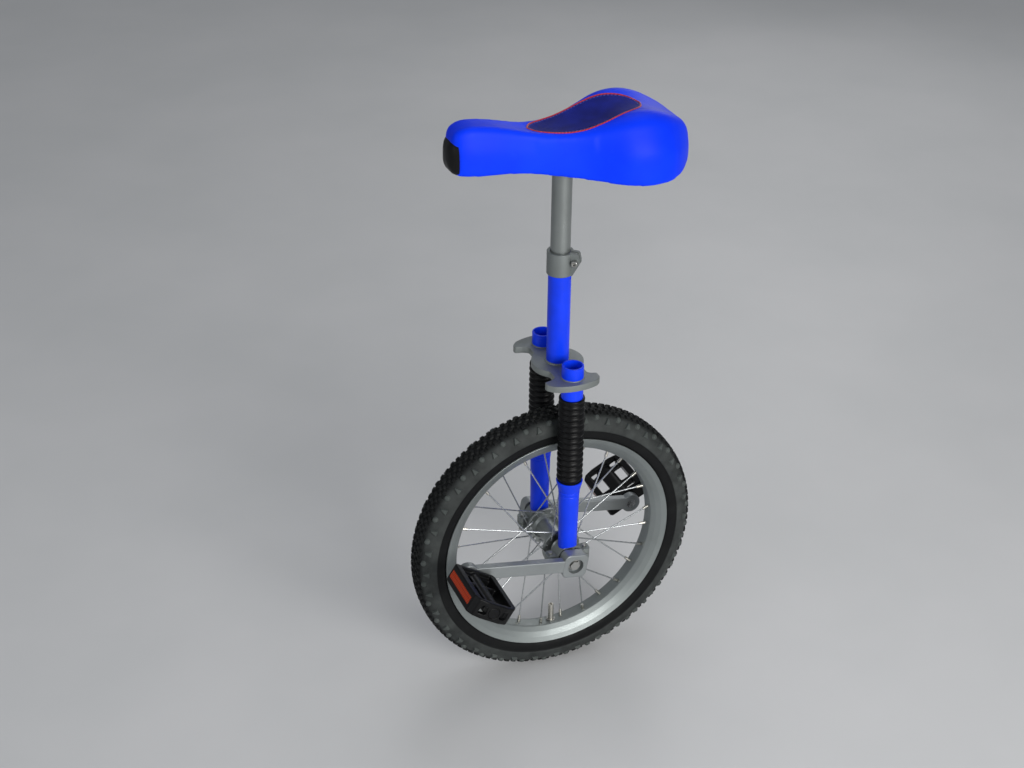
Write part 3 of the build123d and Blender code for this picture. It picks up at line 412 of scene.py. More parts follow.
# closed loop: outer right half, inner right half, inner left half, outer left half
loop = half + [(-y, r) for y, r in half[::-1][1:-1]]
SEG = 360
verts, faces = [], []
n = len(loop)
for i in range(SEG):
    a = 2 * PI * i / SEG
    for y, r in loop:
        verts.append((r * math.cos(a), y, AXLE.z + r * math.sin(a)))
for i in range(SEG):
    j = (i + 1) % SEG
    for k in range(n):
        l = (k + 1) % n
        faces.append((i * n + k, i * n + l, j * n + l, j * n + k))

# path over the casing, by arc length from the centre line
path = half[:12]
arc = [0.0]
for p, q in zip(path, path[1:]):
    arc.append(arc[-1] + math.dist(p, q))


def on_casing(s):
    sg = 1 if s >= 0 else -1
    s = abs(s)
    for i in range(len(arc) - 1):
        if s <= arc[i + 1] or i == len(arc) - 2:
            t = (s - arc[i]) / (arc[i + 1] - arc[i])
            y = path[i][0] + (path[i + 1][0] - path[i][0]) * t
            r = path[i][1] + (path[i + 1][1] - path[i][1]) * t
            break
    e = 0.0008

    def raw(u):
        u = max(0.0, u)
        for i in range(len(arc) - 1):
            if u <= arc[i + 1] or i == len(arc) - 2:
                t = (u - arc[i]) / (arc[i + 1] - arc[i])
                return (path[i][0] + (path[i + 1][0] - path[i][0]) * t, path[i][1] + (path[i + 1][1] - path[i][1]) * t)
    a0, b0 = raw(s - e), raw(s + e)
    ty, tr = b0[0] - a0[0], b0[1] - a0[1]
    L = math.hypot(ty, tr) or 1
    ny, nr = -tr / L, ty / L
    if s < e:
        ny, nr = 0.0, 1.0
    return sg * y, r, sg * ny, nr


def knob(a0, s0, outline, h, draft=0.0006, edge=0.0006):
    """outline: (along the tread, across it) points in metres about (a0, s0)."""
    rings = [(-0.0016, 0.0010), (h - edge, 0.0), (h - edge * 0.3, -edge * 0.45), (h, -edge)]
    cx = sum(p[0] for p in outline) / len(outline)
    cy = sum(p[1] for p in outline) / len(outline)
    base = len(verts)
    m = len(outline)
    for hh, grow in rings:
        for (t, w) in outline:
            d = math.hypot(t - cx, w - cy) or 1
            f = 1 + (grow - draft * max(0, hh) / h) / d
            tt, ww = cx + (t - cx) * f, cy + (w - cy) * f
            y, r, ny, nr = on_casing(s0 + ww)
            y, r = y + ny * hh, r + nr * hh
            a = a0 + tt / 0.195
            verts.append((r * math.cos(a), y, AXLE.z + r * math.sin(a)))
    for q in range(len(rings) - 1):
        for i in range(m):
            j = (i + 1) % m
            faces.append((base + q * m + i, base + q * m + j, base + (q + 1) * m + j, base + (q + 1) * m + i))
    faces.append(tuple(base + (len(rings) - 1) * m + i for i in range(m)))


mm = 0.001
D = PI / 180
for i in range(120):
    a = i * 3 * D
    odd = i % 2
    # centre row: short chevrons pointing the way the tyre turns
    knob(a, 0, [(-3.6 * mm, -4.4 * mm), (1.2 * mm, -4.4 * mm), (3.6 * mm, 0), (1.2 * mm, 4.4 * mm), (-3.6 * mm, 4.4 * mm), (-1.6 * mm, 0)] if not odd else
         [(-3.4 * mm, -3.4 * mm), (2.8 * mm, -3.4 * mm), (3.8 * mm, 0), (2.8 * mm, 3.4 * mm), (-3.4 * mm, 3.4 * mm), (-2.0 * mm, 0)], (TR - 0.2006 * K))
    for sg in (1, -1):
        # second row: slanted bars between the centre blocks
        knob(a + 1.5 * D, sg * 7.6 * mm, [(-3.5 * mm, -1.5 * mm * sg), (2.4 * mm, -2.1 * mm * sg), (3.7 * mm, 1.3 * mm * sg), (-2.2 * mm, 1.9 * mm * sg)], 2.5 * mm)
        # shoulder row
        w = 2.7 if odd else 2.1
        knob(a, sg * 12.4 * mm, [(-3.6 * mm, -w * mm * sg), (3.6 * mm, -(w - 0.5) * mm * sg), (2.9 * mm, w * mm * sg), (-2.9 * mm, w * mm * sg)], 2.7 * mm)
MARK0 = len(faces)
for i in range(72):
    a = i * 5 * D
    for sg in (1, -1):
        # side marks: triangles and rounds in turn
        if i % 2 == 0:
            knob(a, sg * 24.2 * mm, [(-4.7 * mm, 4.2 * mm * sg), (4.7 * mm, 4.2 * mm * sg), (1.0 * mm, -4.8 * mm * sg), (-1.0 * mm, -4.8 * mm * sg)], 3.0 * mm, draft=0.0012, edge=0.0008)
        else:
            knob(a, sg * 19.2 * mm, [(4.0 * mm * math.cos(u * PI / 9), 4.0 * mm * math.sin(u * PI / 9)) for u in range(18)], 3.0 * mm, draft=0.0012, edge=0.0009)
tyre = new_obj("tyre_casing_and_tread", verts, faces, M["tyre"], angle=32 * D)
# second slot: paler grey rubber on the side marks, a painted highlight for their lit faces
tyre.data.materials.append(M["mark"])
for q in tyre.data.polygons:
    if q.index >= MARK0:
        q.material_index = 1
put(tyre, "wheel", "tyre", slot="tyre_rubber")

# ------------------------------------------------------------------ fork boots
for side, s in (("left", 1), ("right", -1)):
    blo, bhi = lo_hi("fork_boot_" + side)
    cy = (blo.y + bhi.y) / 2
    z0, z1 = blo.z, bhi.z                       # 0.3164 .. 0.4507
    zb = max(z0 + 0.0088, min(lo_hi("lower_leg_" + side)[1].z, z0 + 0.015) + 0.0002)
    # plain cuff, gripped inside the lip of the lower leg; it moves with the leg, while the bellows above it stay with
    # the frame
    cuff = revolve_z("fork_boot_cuff_" + side, [(0.01385, z0 + 0.0004), (0.0150, z0), (0.0151, z0 + 0.0005), (0.0151, zb - 0.0001), (0.01385, zb - 0.0001)], 0, cy, M["boot"], seg=72, angle=60 * D)
    put(cuff, "fork_lowers", slot="boot_rubber")
    prof = [(0.01385, zb), (0.0151, zb), (0.0151, zb + 0.0006)]
    ribs, start, end = 14, zb + 0.0012, z1 - 0.0049
    pitch = (end - start) / ribs
    outer, inner = [], []
    for i in range(ribs):
        for k in range(10):
            u = k / 10
            # rounded crest and tight valley
            w = (0.5 - 0.5 * math.cos(2 * PI * u)) ** 0.62
            outer.append((0.01485 + 0.00245 * w, start + (i + u) * pitch))
            if k % 2 == 0:
                inner.append((0.01365 + 0.00240 * w, start + (i + u) * pitch))
    outer.append((0.01485, end))
    prof += outer
    top = [(0.0158, end + 0.0004), (0.0167, end + 0.0010), (0.0169, end + 0.0020), (0.0169, end + 0.0034), (0.0166, z1 - 0.0004), (0.0160, z1), (0.01425, z1), (0.01422, end + 0.0002)]
    prof += top + inner[::-1]
    boot = revolve_z("fork_boot_skin_" + side, prof, 0, cy, M["boot"], seg=72, angle=60 * D)
    put(boot, "frame", "fork_boot_" + side, slot="boot_rubber")
    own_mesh(boot)
    # the coil spring inside the stanchion
    slo, shi = lo_hi("fork_spring_" + side)
    sp = nodes["fork_spring_" + side].copy()
    sp.data = sp.data.copy()
    sp.name = "fork_coil_" + side
    bpy.context.scene.collection.objects.link(sp)
    sp.hide_render = sp.hide_viewport = False
    for k in list(sp.keys()):
        if k.startswith("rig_"):
            del sp[k]
    sp.parent = None
    sp.matrix_world = Matrix.Identity(4)
    put(sp, "frame", "fork_spring_" + side, slot="bearing_steel")
    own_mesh(sp)

# ------------------------------------------------------------------ pedal bodies, with moulded (rounded) edges
for side in ("left", "right"):
    pb = nodes["pedal_body_" + side].copy()
    pb.data = pb.data.copy()
    pb.name = "pedal_moulding_" + side
    bpy.context.scene.collection.objects.link(pb)
    pb.hide_render = pb.hide_viewport = False
    for k in list(pb.keys()):
        if k.startswith("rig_"):
            del pb[k]
    pb.parent = None
    pb.matrix_world = Matrix.Identity(4)
    rm = pb.modifiers.new("remesh", "REMESH")
    rm.mode = "VOXEL"
    rm.voxel_size = 0.0008
    sm = pb.modifiers.new("round", "SMOOTH")
    sm.factor = 0.5
    sm.iterations = 6
    apply_mods(pb)
    pb.data.materials.clear()
    pb.data.materials.append(M["pedal"])
    for q in pb.data.polygons:
        q.material_index = 0
    shade(pb, 50 * D)
    put(pb, "pedal_" + side, "pedal_body_" + side, slot="pedal_plastic")

# ------------------------------------------------------------------ crown plate
clo, chi = lo_hi("fork_crown")
Z0, Z1 = clo.z, clo.z + 0.0085


def crown_outline():
    """Counter-clockwise plan: points with a corner radius.  Front tips reach a little further than the rear ones."""
    R, B, NW, IN = 0.071, 0.034, 0.0218, 0.043

    def quarter(W, outer):
        ye = math.sqrt(R * R - W * W)
        a0 = math.atan2(ye, W)
        b0 = math.atan2(math.sqrt(B * B - NW * NW), NW)
        q = [(B * math.cos(b0 * i / 6), B * math.sin(b0 * i / 6), 0.006 if i == 6 else 0) for i in range(7)]
        q += [(NW, IN, 0.006), (0.78 * W, 0.0470, 0.010), (W + 0.0012, 0.0492, 0.0036), (W + 0.0008, outer, 0.0042)]
        q += [(R * math.cos(a0 + (PI / 2 - a0) * i / 12), R * math.sin(a0 + (PI / 2 - a0) * i / 12), 0) for i in range(2, 13)]
        return q
    front, rear = quarter(0.0380, 0.0560), quarter(0.0318, 0.0600)
    top = front + [(-x, y, r) for x, y, r in rear[:-1]][::-1]
    bot = [(x, -y, r) for x, y, r in top[1:-1]][::-1]
    return top + bot


pts = crown_outline()


def rounded(pts):
    out = []
    m = len(pts)
    for i, (x, y, r) in enumerate(pts):
        if r <= 0:
            out.append((x, y))
            continue
        p, q = Vector((x, y)), Vector(pts[i - 1][:2])
        t = Vector(pts[(i + 1) % m][:2])
        d1, d2 = (q - p), (t - p)
        l1, l2 = d1.length, d2.length
        ang = d1.angle(d2)
        cut = min(r / math.tan(ang / 2), l1 * 0.9, l2 * 0.9)
        a, b = p + d1.normalized() * cut, p + d2.normalized() * cut
        for k in range(9):
            u = k / 8
            out.append(tuple((a * (1 - u) ** 2 + p * 2 * u * (1 - u) + b * u * u)))
    return out


outline = rounded(pts)
bm = bmesh.new()
vs = [bm.verts.new((x, y, Z0)) for x, y in outline]
f = bm.faces.new(vs)
ex = bmesh.ops.extrude_face_region(bm, geom=[f])
bmesh.ops.translate(bm, verts=[v for v in ex["geom"] if isinstance(v, bmesh.types.BMVert)], vec=(0, 0, Z1 - Z0))
bmesh.ops.recalc_face_normals(bm, faces=bm.faces)
rim_edges = [e for e in bm.edges if abs(e.verts[0].co.z - e.verts[1].co.z) < 1e-6]
bmesh.ops.bevel(bm, geom=rim_edges, offset=0.0026, segments=5, profile=0.5, affect="EDGES", clamp_overlap=True)
me = bpy.data.meshes.new("fork_crown_plate")
bm.to_mesh(me)
bm.free()
crown = bpy.data.objects.new("fork_crown_plate", me)
bpy.context.scene.collection.objects.link(crown)
me.materials.append(M["grey"])
shade(crown, 40 * D)
put(crown, "frame", "fork_crown", slot="satin_grey")


def weld(name, cx, cy, z, R, mat, body, r=0.0013, n=26):
    """A ripple-topped fillet weld round a tube on a plate."""
    verts, faces = [], []
    seg, sec = n * 8, 8
    for i in range(seg):
        a = 2 * PI * i / seg
        bulge = r * (1 + 0.16 * abs(math.sin(a * n / 2)) + 0.06 * math.sin(3 * a + cx * 90))
        for k in range(sec):
            u = PI / 2 * k / (sec - 1)
            verts.append((cx + (R + bulge * math.cos(u)) * math.cos(a), cy + (R + bulge * math.cos(u)) * math.sin(a), z + bulge * math.sin(u)))
        verts.append((cx + (R - 0.0006) * math.cos(a), cy + (R - 0.0006) * math.sin(a), z + bulge))
        verts.append((cx + (R - 0.0006) * math.cos(a), cy + (R - 0.0006) * math.sin(a), z))
    m = sec + 2
    for i in range(seg):
        j = (i + 1) % seg
        for k in range(m):
            l = (k + 1) % m
            faces.append((i * m + k, j * m + k, j * m + l, i * m + l))
    ob = new_obj(name, verts, faces, mat, angle=60 * D)
    put(ob, body)
    return ob


slo, shi = lo_hi("seat_tube")
weld("weld_seat_tube", 0, 0, Z1 - 0.0001, (shi.x - slo.x) / 2, M["grey"], "frame", r=0.0018, n=30)
for side, s in (("left", 1), ("right", -1)):
    ulo, uhi = lo_hi("upper_sleeve_" + side)
    weld("weld_sleeve_top_" + side, 0, (ulo.y + uhi.y) / 2, Z1 - 0.0001, (uhi.x - ulo.x) / 2, M["grey"], "frame", r=0.0010, n=28)

# ------------------------------------------------------------------ saddle
SECT = [  # x, half width, ridge half width, skirt bottom, ridge height, dip (mm)
    (148.2, 12.5, 6.0, 770.0, 805.0, 0.0), (147.2, 16.0, 9.5, 766.8, 810.5, 0.0), (144.4, 19.5, 12.0, 764.4, 815.5, 0.0), (138.5, 22.6, 14.0, 762.8, 819.5, 0.0),
    (127.0, 25.0, 15.6, 761.8, 822.0, 0.0), (112.0, 26.0, 16.0, 760.8, 821.0, 0.2), (94.0, 26.4, 16.4, 759.6, 818.0, 0.5), (76.0, 26.4, 17.6, 758.2, 813.5, 0.8),
    (59.0, 27.0, 19.6, 756.4, 809.0, 1.2), (43.0, 29.2, 23.0, 754.2, 805.5, 1.6), (28.0, 32.7, 27.0, 751.6, 803.8, 2.0), (12.0, 37.2, 31.5, 749.0, 803.4, 2.6),
    (-3.0, 42.0, 35.5, 746.8, 804.4, 3.2), (-16.0, 47.4, 38.6, 744.8, 807.0, 4.2), (-28.0, 53.7, 41.0, 743.2, 810.5, 5.2), (-40.0, 61.0, 43.6, 741.8, 814.3, 6.2),
    (-52.0, 67.8, 45.6, 740.6, 818.3, 6.8), (-64.0, 72.6, 46.8, 739.6, 821.4, 6.8), (-78.0, 75.4, 47.4, 738.8, 823.0, 6.2), (-92.0, 75.8, 47.4, 738.4, 822.6, 5.0),
    (-105.0, 74.0, 46.4, 738.4, 819.8, 3.6), (-117.0, 69.8, 44.4, 738.8, 815.4, 2.2), (-128.0, 63.0, 41.0, 739.5, 810.0, 1.2), (-138.0, 53.6, 35.4, 740.8, 804.2, 0.4),
    (-147.0, 43.0, 29.0, 742.6, 797.6, 0.0), (-154.5, 32.6, 21.5, 745.0, 789.0, 0.0), (-160.0, 22.6, 14.0, 748.0, 779.0, 0.0), (-163.4, 13.0, 7.0, 752.0, 768.0, 0.0)]
clo, chi = lo_hi("saddle_cushion")
SHIFT_X = 0.0


def interp_sections(count):
    xs = [q[0] for q in SECT]
    L = [0.0]
    for a, b in zip(SECT, SECT[1:]):
        L.append(L[-1] + math.sqrt((a[0] - b[0]) ** 2 + 0.35 * (a[1] - b[1]) ** 2 + 0.35 * (a[4] - b[4]) ** 2))
    out = []
    for i in range(count):
        u = L[-1] * i / (count - 1)
        k = max(j for j in range(len(L)) if L[j] <= u + 1e-9)
        k = min(k, len(L) - 2)
        t = (u - L[k]) / (L[k + 1] - L[k])
        row = []
        for c in range(6):
            p0 = SECT[max(k - 1, 0)][c]; p1 = SECT[k][c]; p2 = SECT[k + 1][c]; p3 = SECT[min(k + 2, len(SECT) - 1)][c]
            row.append(0.5 * ((2 * p1) + (-p0 + p2) * t + (2 * p0 - 5 * p1 + 4 * p2 - p3) * t * t + (-p0 + 3 * p1 - 3 * p2 + p3) * t ** 3))
        out.append(row)
    return out


def ring(x, w, rg, zb, zt, dip, inset, cav):
    """Closed loop of (x, y, z) round one section; inset shrinks it, cav is the depth of the hollow under it."""
    h = zt - zb
    w2, z2 = w - inset, zb + inset * 0.3
    zt2 = zt - inset
    h2 = zt2 - z2
    P = []
    # right half, bottom to top: control points then Catmull-Rom
    ctrl = [(w2 - 4.6, z2 - 0.1), (w2 - 1.9, z2 + 0.2), (w2 - 0.3, z2 + 0.055 * h2), (w2, z2 + 0.19 * h2), (w2 * 0.988, z2 + 0.48 * h2), (w2 * 0.955 if rg > w2 * 0.8 else (0.62 * w2 + 0.38 * rg), z2 + 0.76 * h2),
            (0.30 * w2 + 0.70 * rg, z2 + 0.925 * h2), (rg * 0.86, zt2 - 0.1), (rg * 0.50, zt2 - dip * 0.45 - 0.2), (rg * 0.22, zt2 - dip * 0.88), (0.0, zt2 - dip)]
    curve = []
    for i in range(len(ctrl) - 1):
        p0 = ctrl[max(i - 1, 0)]; p1 = ctrl[i]; p2 = ctrl[i + 1]; p3 = ctrl[i + 2] if i + 2 < len(ctrl) else (-ctrl[-2][0], ctrl[-2][1])
        for k in range(4):
            t = k / 4
            curve.append(tuple(0.5 * ((2 * p1[c]) + (-p0[c] + p2[c]) * t + (2 * p0[c] - 5 * p1[c] + 4 * p2[c] - p3[c]) * t * t + (-p0[c] + 3 * p1[c] - 3 * p2[c] + p3[c]) * t ** 3) for c in (0, 1)))
    curve.append(ctrl[-1])
    right = curve
    left = [(-y, z) for y, z in curve[:-1]][::-1]
    wi = max(w2 - 9.5, w2 * 0.4)
    zc = z2 + cav
    under_l = [(-wi - 2.4, z2 + 0.2), (-wi - 0.6, z2 + min(1.2, cav * 0.4)), (-wi, z2 + min(4.0, cav * 0.6)), (-wi, zc - 0.5)]
    mid = [(-wi * 0.96 + wi * 1.92 * k / 10, zc) for k in range(11)]
    under_r = [(wi, zc - 0.5), (wi, z2 + min(4.0, cav * 0.6)), (wi + 0.6, z2 + min(1.2, cav * 0.4)), (wi + 2.4, z2 + 0.2)]
    P = right + left + under_l + mid + under_r
    return [(x / 1000, y / 1000, z / 1000) for y, z in P]


def cushion_mesh(inset):
    rows = interp_sections(96)
    verts, faces = [], []
    m = None
    for x, w, rg, zb, zt, dip in rows:
        c = 23.9 * min(1.0, max(0.0, (124 - x) / 10.0)) * min(1.0, max(0.0, (x + 138) / 10.0))
        xx = x - inset * max(-1.0, min(1.0, (x + 5) / 150.0)) * (1 if abs(x) > 120 else 0.0)
        r = ring(xx, max(w, 3), max(rg, 1.2), zb, zt, dip, inset, max(c, 0.9))
        m = len(r)
        verts += r
    nrow = len(rows)
    for i in range(nrow - 1):
        for k in range(m):
            l = (k + 1) % m
            faces.append((i * m + k, i * m + l, (i + 1) * m + l, (i + 1) * m + k))
    faces.append(tuple(range(m))[::-1])
    faces.append(tuple((nrow - 1) * m + k for k in range(m)))
    return verts, faces


def vinyl_material():
    """Moulded vinyl: bright blue skin with fine leather grain, a darker grip panel on top edged in red, faint dust and rub marks."""
    m = Mat("saddle_vinyl")
    sep = m.node("ShaderNodeSeparateXYZ")
    m.link(m.co, sep.inputs[0])
    X, Y, Z = sep.outputs
    ay = m.math("ABSOLUTE", Y)
    # panel half width along X, as a smooth curve from nose (1) to tail (0)
    u = m.mapr(X, -0.100, 0.048, 0.0, 1.0)
    fc = m.node("ShaderNodeFloatCurve")
    m.link(u, fc.inputs["Value"])
    cv = fc.mapping.curves[0]
    table = [(0.0, 0.0), (0.05, 0.17), (0.16, 0.29), (0.33, 0.355), (0.52, 0.345), (0.70, 0.285), (0.86, 0.20), (0.95, 0.12), (1.0, 0.0)]
    cv.points[0].location = table[0]
    cv.points[1].location = table[-1]
    for p in table[1:-1]:
        cv.points.new(*p)
    fc.mapping.update()
    hw = m.math("MULTIPLY", fc.outputs["Value"], 0.1)
    d = m.math("SUBTRACT", ay, hw)
    up = m.mapr(Z, 0.778, 0.786, 0.0, 1.0)
    inside = m.math("MULTIPLY", m.mapr(d, 0.0002, -0.0003, 0.0, 1.0), up)
    ends = m.math("MULTIPLY", m.mapr(X, -0.1001, -0.0995, 0, 1), m.mapr(X, 0.0481, 0.0475, 0, 1))
    inside = m.math("MULTIPLY", inside, ends)
    broad = m.noise(11, 4, 0.55)
    blue = m.mix(m.mapr(broad, 0.3, 0.75, 0, 1), (0.001, 0.030, 0.80), (0.002, 0.048, 0.95))
    rub = m.mapr(m.noise(34, 6, 0.7), 0.60, 0.74, 0.0, 0.10)
    blue = m.mix(rub, blue, (0.03, 0.10, 0.75))
    navy = m.mix(m.mapr(m.noise(48, 5, 0.6), 0.35, 0.7, 0, 1), (0.006, 0.011, 0.16), (0.009, 0.018, 0.26))
    m.color(m.mix(inside, blue, navy))
    grain = m.voronoi(620, "DISTANCE_TO_EDGE", rnd=1.0)
    g2 = m.mapr(grain, 0.0, 0.10, 0.0, 1.0)
    micro = m.noise(1500, 3)
    # grip panel: small raised pips in rows
    px = m.math("SINE", m.math("MULTIPLY", X, 2 * PI / 0.0034))
    py = m.math("SINE", m.math("MULTIPLY", Y, 2 * PI / 0.0034))
    pips = m.math("MULTIPLY", m.mapr(m.math("MULTIPLY", px, py), 0.15, 0.75, 0.0, 1.0), inside)
    m.rough(m.math("ADD", m.mapr(broad, 0.3, 0.75, 0.40, 0.50), m.math("MULTIPLY", inside, 0.12)))
    m.set(Coat_Weight=0.0, Coat_Roughness=0.30, Specular_IOR_Level=0.09, Sheen_Weight=0.0)
    m.bump((m.noise(26, 3), 0.10, 0.0012), (g2, 0.09, 0.00022), (micro, 0.05, 0.0001), (pips, 0.45, 0.0004))
    return m.m


M["vinyl"] = vinyl_material()


def build_cushion():
    v, f = cushion_mesh(0.8)
    ob = new_obj("saddle_cover", v, f, M["vinyl"])
    target = BVHTree.FromPolygons([Vector(p) for p in v], f)
    rm = ob.modifiers.new("remesh", "REMESH")
    rm.mode = "VOXEL"
    rm.voxel_size = 0.0032
    apply_mods(ob)
    rest = [p.co.copy() for p in ob.data.vertices]
    # firm foam: the skin is held round its lower edge and under the saddle, and swells a little elsewhere
    vg = ob.vertex_groups.new(name="pin")
    for p in ob.data.vertices:
        x, y, z = p.co * 1000
        row = min(SECT, key=lambda q: abs(q[0] - x))
        zb = row[3]
        k = 1.0 if z < zb + 26 and abs(y) < row[1] - 5 else max(0.0, min(1.0, 1 - (z - zb - 2) / 10))
        if x > 140:
            k = max(k, 0.6)
        vg.add([p.index], max(k, 0.12), "REPLACE")
    cl = ob.modifiers.new("cloth", "CLOTH")
    st = cl.settings
    st.quality = 6
    st.mass = 0.35
    st.tension_stiffness = 40
    st.compression_stiffness = 40
    st.shear_stiffness = 20
    st.bending_stiffness = 4
    st.use_pressure = True
    st.uniform_pressure_force = 4.0
    st.vertex_group_mass = "pin"
    st.pin_stiffness = 1.0
    st.effector_weights.gravity = 0
    cl.collision_settings.use_collision = False
    cl.point_cache.frame_start, cl.point_cache.frame_end = 1, 20
    sc = bpy.context.scene
    for fr in range(1, 21):
        sc.frame_set(fr)
    apply_mods(ob)
    sc.frame_set(1)
    cap = 0.0022
    for p, q in zip(ob.data.vertices, rest):
        d = p.co - q
        if d.length > cap:
            p.co = q + d * (cap / d.length)
    # even out the remesh steps, without shrinking
    bm = bmesh.new()
    bm.from_mesh(ob.data)
    for _ in range(14):
        for fac in (0.5, -0.53):
            bmesh.ops.smooth_vert(bm, verts=bm.verts, factor=fac, use_axis_x=True, use_axis_y=True, use_axis_z=True)
    # draw the outer skin back on to the moulded form, keeping some of the swelling
    for p in bm.verts:
        near, nrm, idx, dist = target.find_nearest(p.co)
        if near is not None:
            p.co = p.co.lerp(near, 0.72)
    for _ in range(5):
        for fac in (0.5, -0.52):
            bmesh.ops.smooth_vert(bm, verts=bm.verts, factor=fac, use_axis_x=True, use_axis_y=True, use_axis_z=True)
    bm.to_mesh(ob.data)
    bm.free()
    sd = ob.modifiers.new("sub", "SUBSURF")
    sd.levels = sd.render_levels = 1
    apply_mods(ob)
    shade(ob)
    if not ob.data.materials:
        ob.data.materials.append(M["vinyl"])
    return ob


cushion = build_cushion()
put(cushion, "seat", "saddle_cushion", slot="saddle_vinyl")

cbvh = BVHTree.FromPolygons([v.co.copy() for v in cushion.data.vertices], [tuple(p.vertices) for p in cushion.data.polygons])

PANEL = [(0.0, 0.0), (0.05, 0.17), (0.16, 0.29), (0.33, 0.355), (0.52, 0.345), (0.70, 0.285), (0.86, 0.20), (0.95, 0.12), (1.0, 0.0)]


def panel_hw(u):
    pts = PANEL
    for i in range(len(pts) - 1):
        if u <= pts[i + 1][0] + 1e-9:
            p0 = pts[max(i - 1, 0)]; p1 = pts[i]; p2 = pts[i + 1]; p3 = pts[min(i + 2, len(pts) - 1)]
            t = (u - p1[0]) / (p2[0] - p1[0])
            m1 = (p2[1] - p0[1]) / (p2[0] - p0[0]) * (p2[0] - p1[0]) if i > 0 else (p2[1] - p1[1]) * 1.6
            m2 = (p3[1] - p1[1]) / (p3[0] - p1[0]) * (p2[0] - p1[0]) if i + 2 < len(pts) else (p2[1] - p1[1]) * 1.4
            return (2 * t ** 3 - 3 * t * t + 1) * p1[1] + (t ** 3 - 2 * t * t + t) * m1 + (-2 * t ** 3 + 3 * t * t) * p2[1] + (t ** 3 - t * t) * m2
    return 0.0


def top_point(x, y, lift=0.0):
    hit, nrm, idx, d = cbvh.ray_cast(Vector((x, y, 0.9)), Vector((0, 0, -1)))
    return (hit + nrm * lift, nrm) if hit else (None, None)


def piping(name, pts, radius, mat, body, sides=10, cyclic=True, dash=None):
    """A round cord laid along points on the skin: (position, surface normal)."""
    verts, faces = [], []
    n = len(pts)
    for i, (p, nr) in enumerate(pts):
        q = pts[(i + 1) % n][0] if (cyclic or i < n - 1) else p
        o = pts[i - 1][0] if (cyclic or i > 0) else p
        t = (q - o).normalized()
        b = t.cross(nr).normalized()
        c = b.cross(t).normalized()
        for k in range(sides):
            a = 2 * PI * k / sides
            verts.append(p + b * radius * math.cos(a) + c * radius * math.sin(a))
    cnt = n if cyclic else n - 1
    for i in range(cnt):
        j = (i + 1) % n
        for k in range(sides):
            l = (k + 1) % sides
            faces.append((i * sides + k, i * sides + l, j * sides + l, j * sides + k))
    if not cyclic:
        faces.append(tuple(range(sides))[::-1])
        faces.append(tuple((n - 1) * sides + k for k in range(sides)))
    ob = new_obj(name, verts, faces, mat)
    put(ob, body)
    return ob


def thread_material(name, col):
    m = Mat(name)
    w = m.node("ShaderNodeTexWave", wave_type="BANDS", bands_direction="DIAGONAL")
    w.inputs["Scale"].default_value = 260
    w.inputs["Distortion"].default_value = 0.6
    m.link(m.co, w.inputs["Vector"])
    m.color(m.mix(w.outputs["Fac"], tuple(c * 0.55 for c in col), col))
    m.rough(m.mapr(m.noise(300), 0.3, 0.7, 0.55, 0.8))
    m.set(Sheen_Weight=0.3, Specular_IOR_Level=0.35)
    m.bump((w.outputs["Fac"], 0.35, 0.0003))
    return m.m


M["red_piping"] = thread_material("red_piping", (0.50, 0.012, 0.035))
M["stitch"] = thread_material("stitch_thread", (0.05, 0.10, 0.55))

outline = []
NP = 150
for i in range(NP + 1):
    u = 0.5 - 0.5 * math.cos(PI * i / NP)
    outline.append((-0.100 + 0.148 * u, 0.1 * panel_hw(u)))
loop_xy = outline + [(x, -y) for x, y in outline[::-1][1:-1]]
loop_pts = []
for x, y in loop_xy:
    p, nr = top_point(x, y, 0.0001)
    if p is not None:
        loop_pts.append((p, nr))
# even steps along the line
def resample(pts, step, cyclic=True):
    P = pts + [pts[0]] if cyclic else pts
    L = [0.0]
    for a, b in zip(P, P[1:]):
        L.append(L[-1] + (b[0] - a[0]).length)
    cnt = max(8, int(L[-1] / step))
    out = []
    k = 0
    for i in range(cnt if cyclic else cnt + 1):
        u = L[-1] * i / cnt
        while k < len(L) - 2 and L[k + 1] < u:
            k += 1
        t = (u - L[k]) / max(1e-9, L[k + 1] - L[k])
        out.append((P[k][0].lerp(P[k + 1][0], t), P[k][1].lerp(P[k + 1][1], t).normalized()))
    return out


loop_even = resample(loop_pts, 0.0022)
piping("panel_piping", loop_even, 0.00105, M["red_piping"], "seat")


def stitches(name, line, length, gap, radius, mat, body):
    """Thread stitches: short bent capsules that dip into the skin at both ends."""
    verts, faces = [], []
    step = length + gap
    dense = resample(line, 0.0005)
    per = max(1, int(step / 0.0005))
    ln = max(2, int(length / 0.0005))
    sides = 7
    for s0 in range(0, len(dense) - per, per):
        pts = []
        for k in range(0, ln + 1, 1):
            p, nr = dense[(s0 + k) % len(dense)]
            arch = math.sin(PI * k / ln) * 0.0007 - 0.00035
            pts.append((p + nr * arch, nr))
        base = len(verts)
        for i, (p, nr) in enumerate(pts):
            t = (pts[min(i + 1, len(pts) - 1)][0] - pts[max(i - 1, 0)][0]).normalized()
            b = t.cross(nr).normalized()
            c = b.cross(t)
            for k in range(sides):
                a = 2 * PI * k / sides
                verts.append(p + (b * math.cos(a) + c * math.sin(a)) * radius)
        for i in range(len(pts) - 1):
            for k in range(sides):
                l = (k + 1) % sides
                faces.append((base + i * sides + k, base + i * sides + l, base + (i + 1) * sides + l, base + (i + 1) * sides + k))
        faces.append(tuple(base + k for k in range(sides))[::-1])
        faces.append(tuple(base + (len(pts) - 1) * sides + k for k in range(sides)))
    ob = new_obj(name, verts, faces, mat)
    put(ob, body)
    return ob


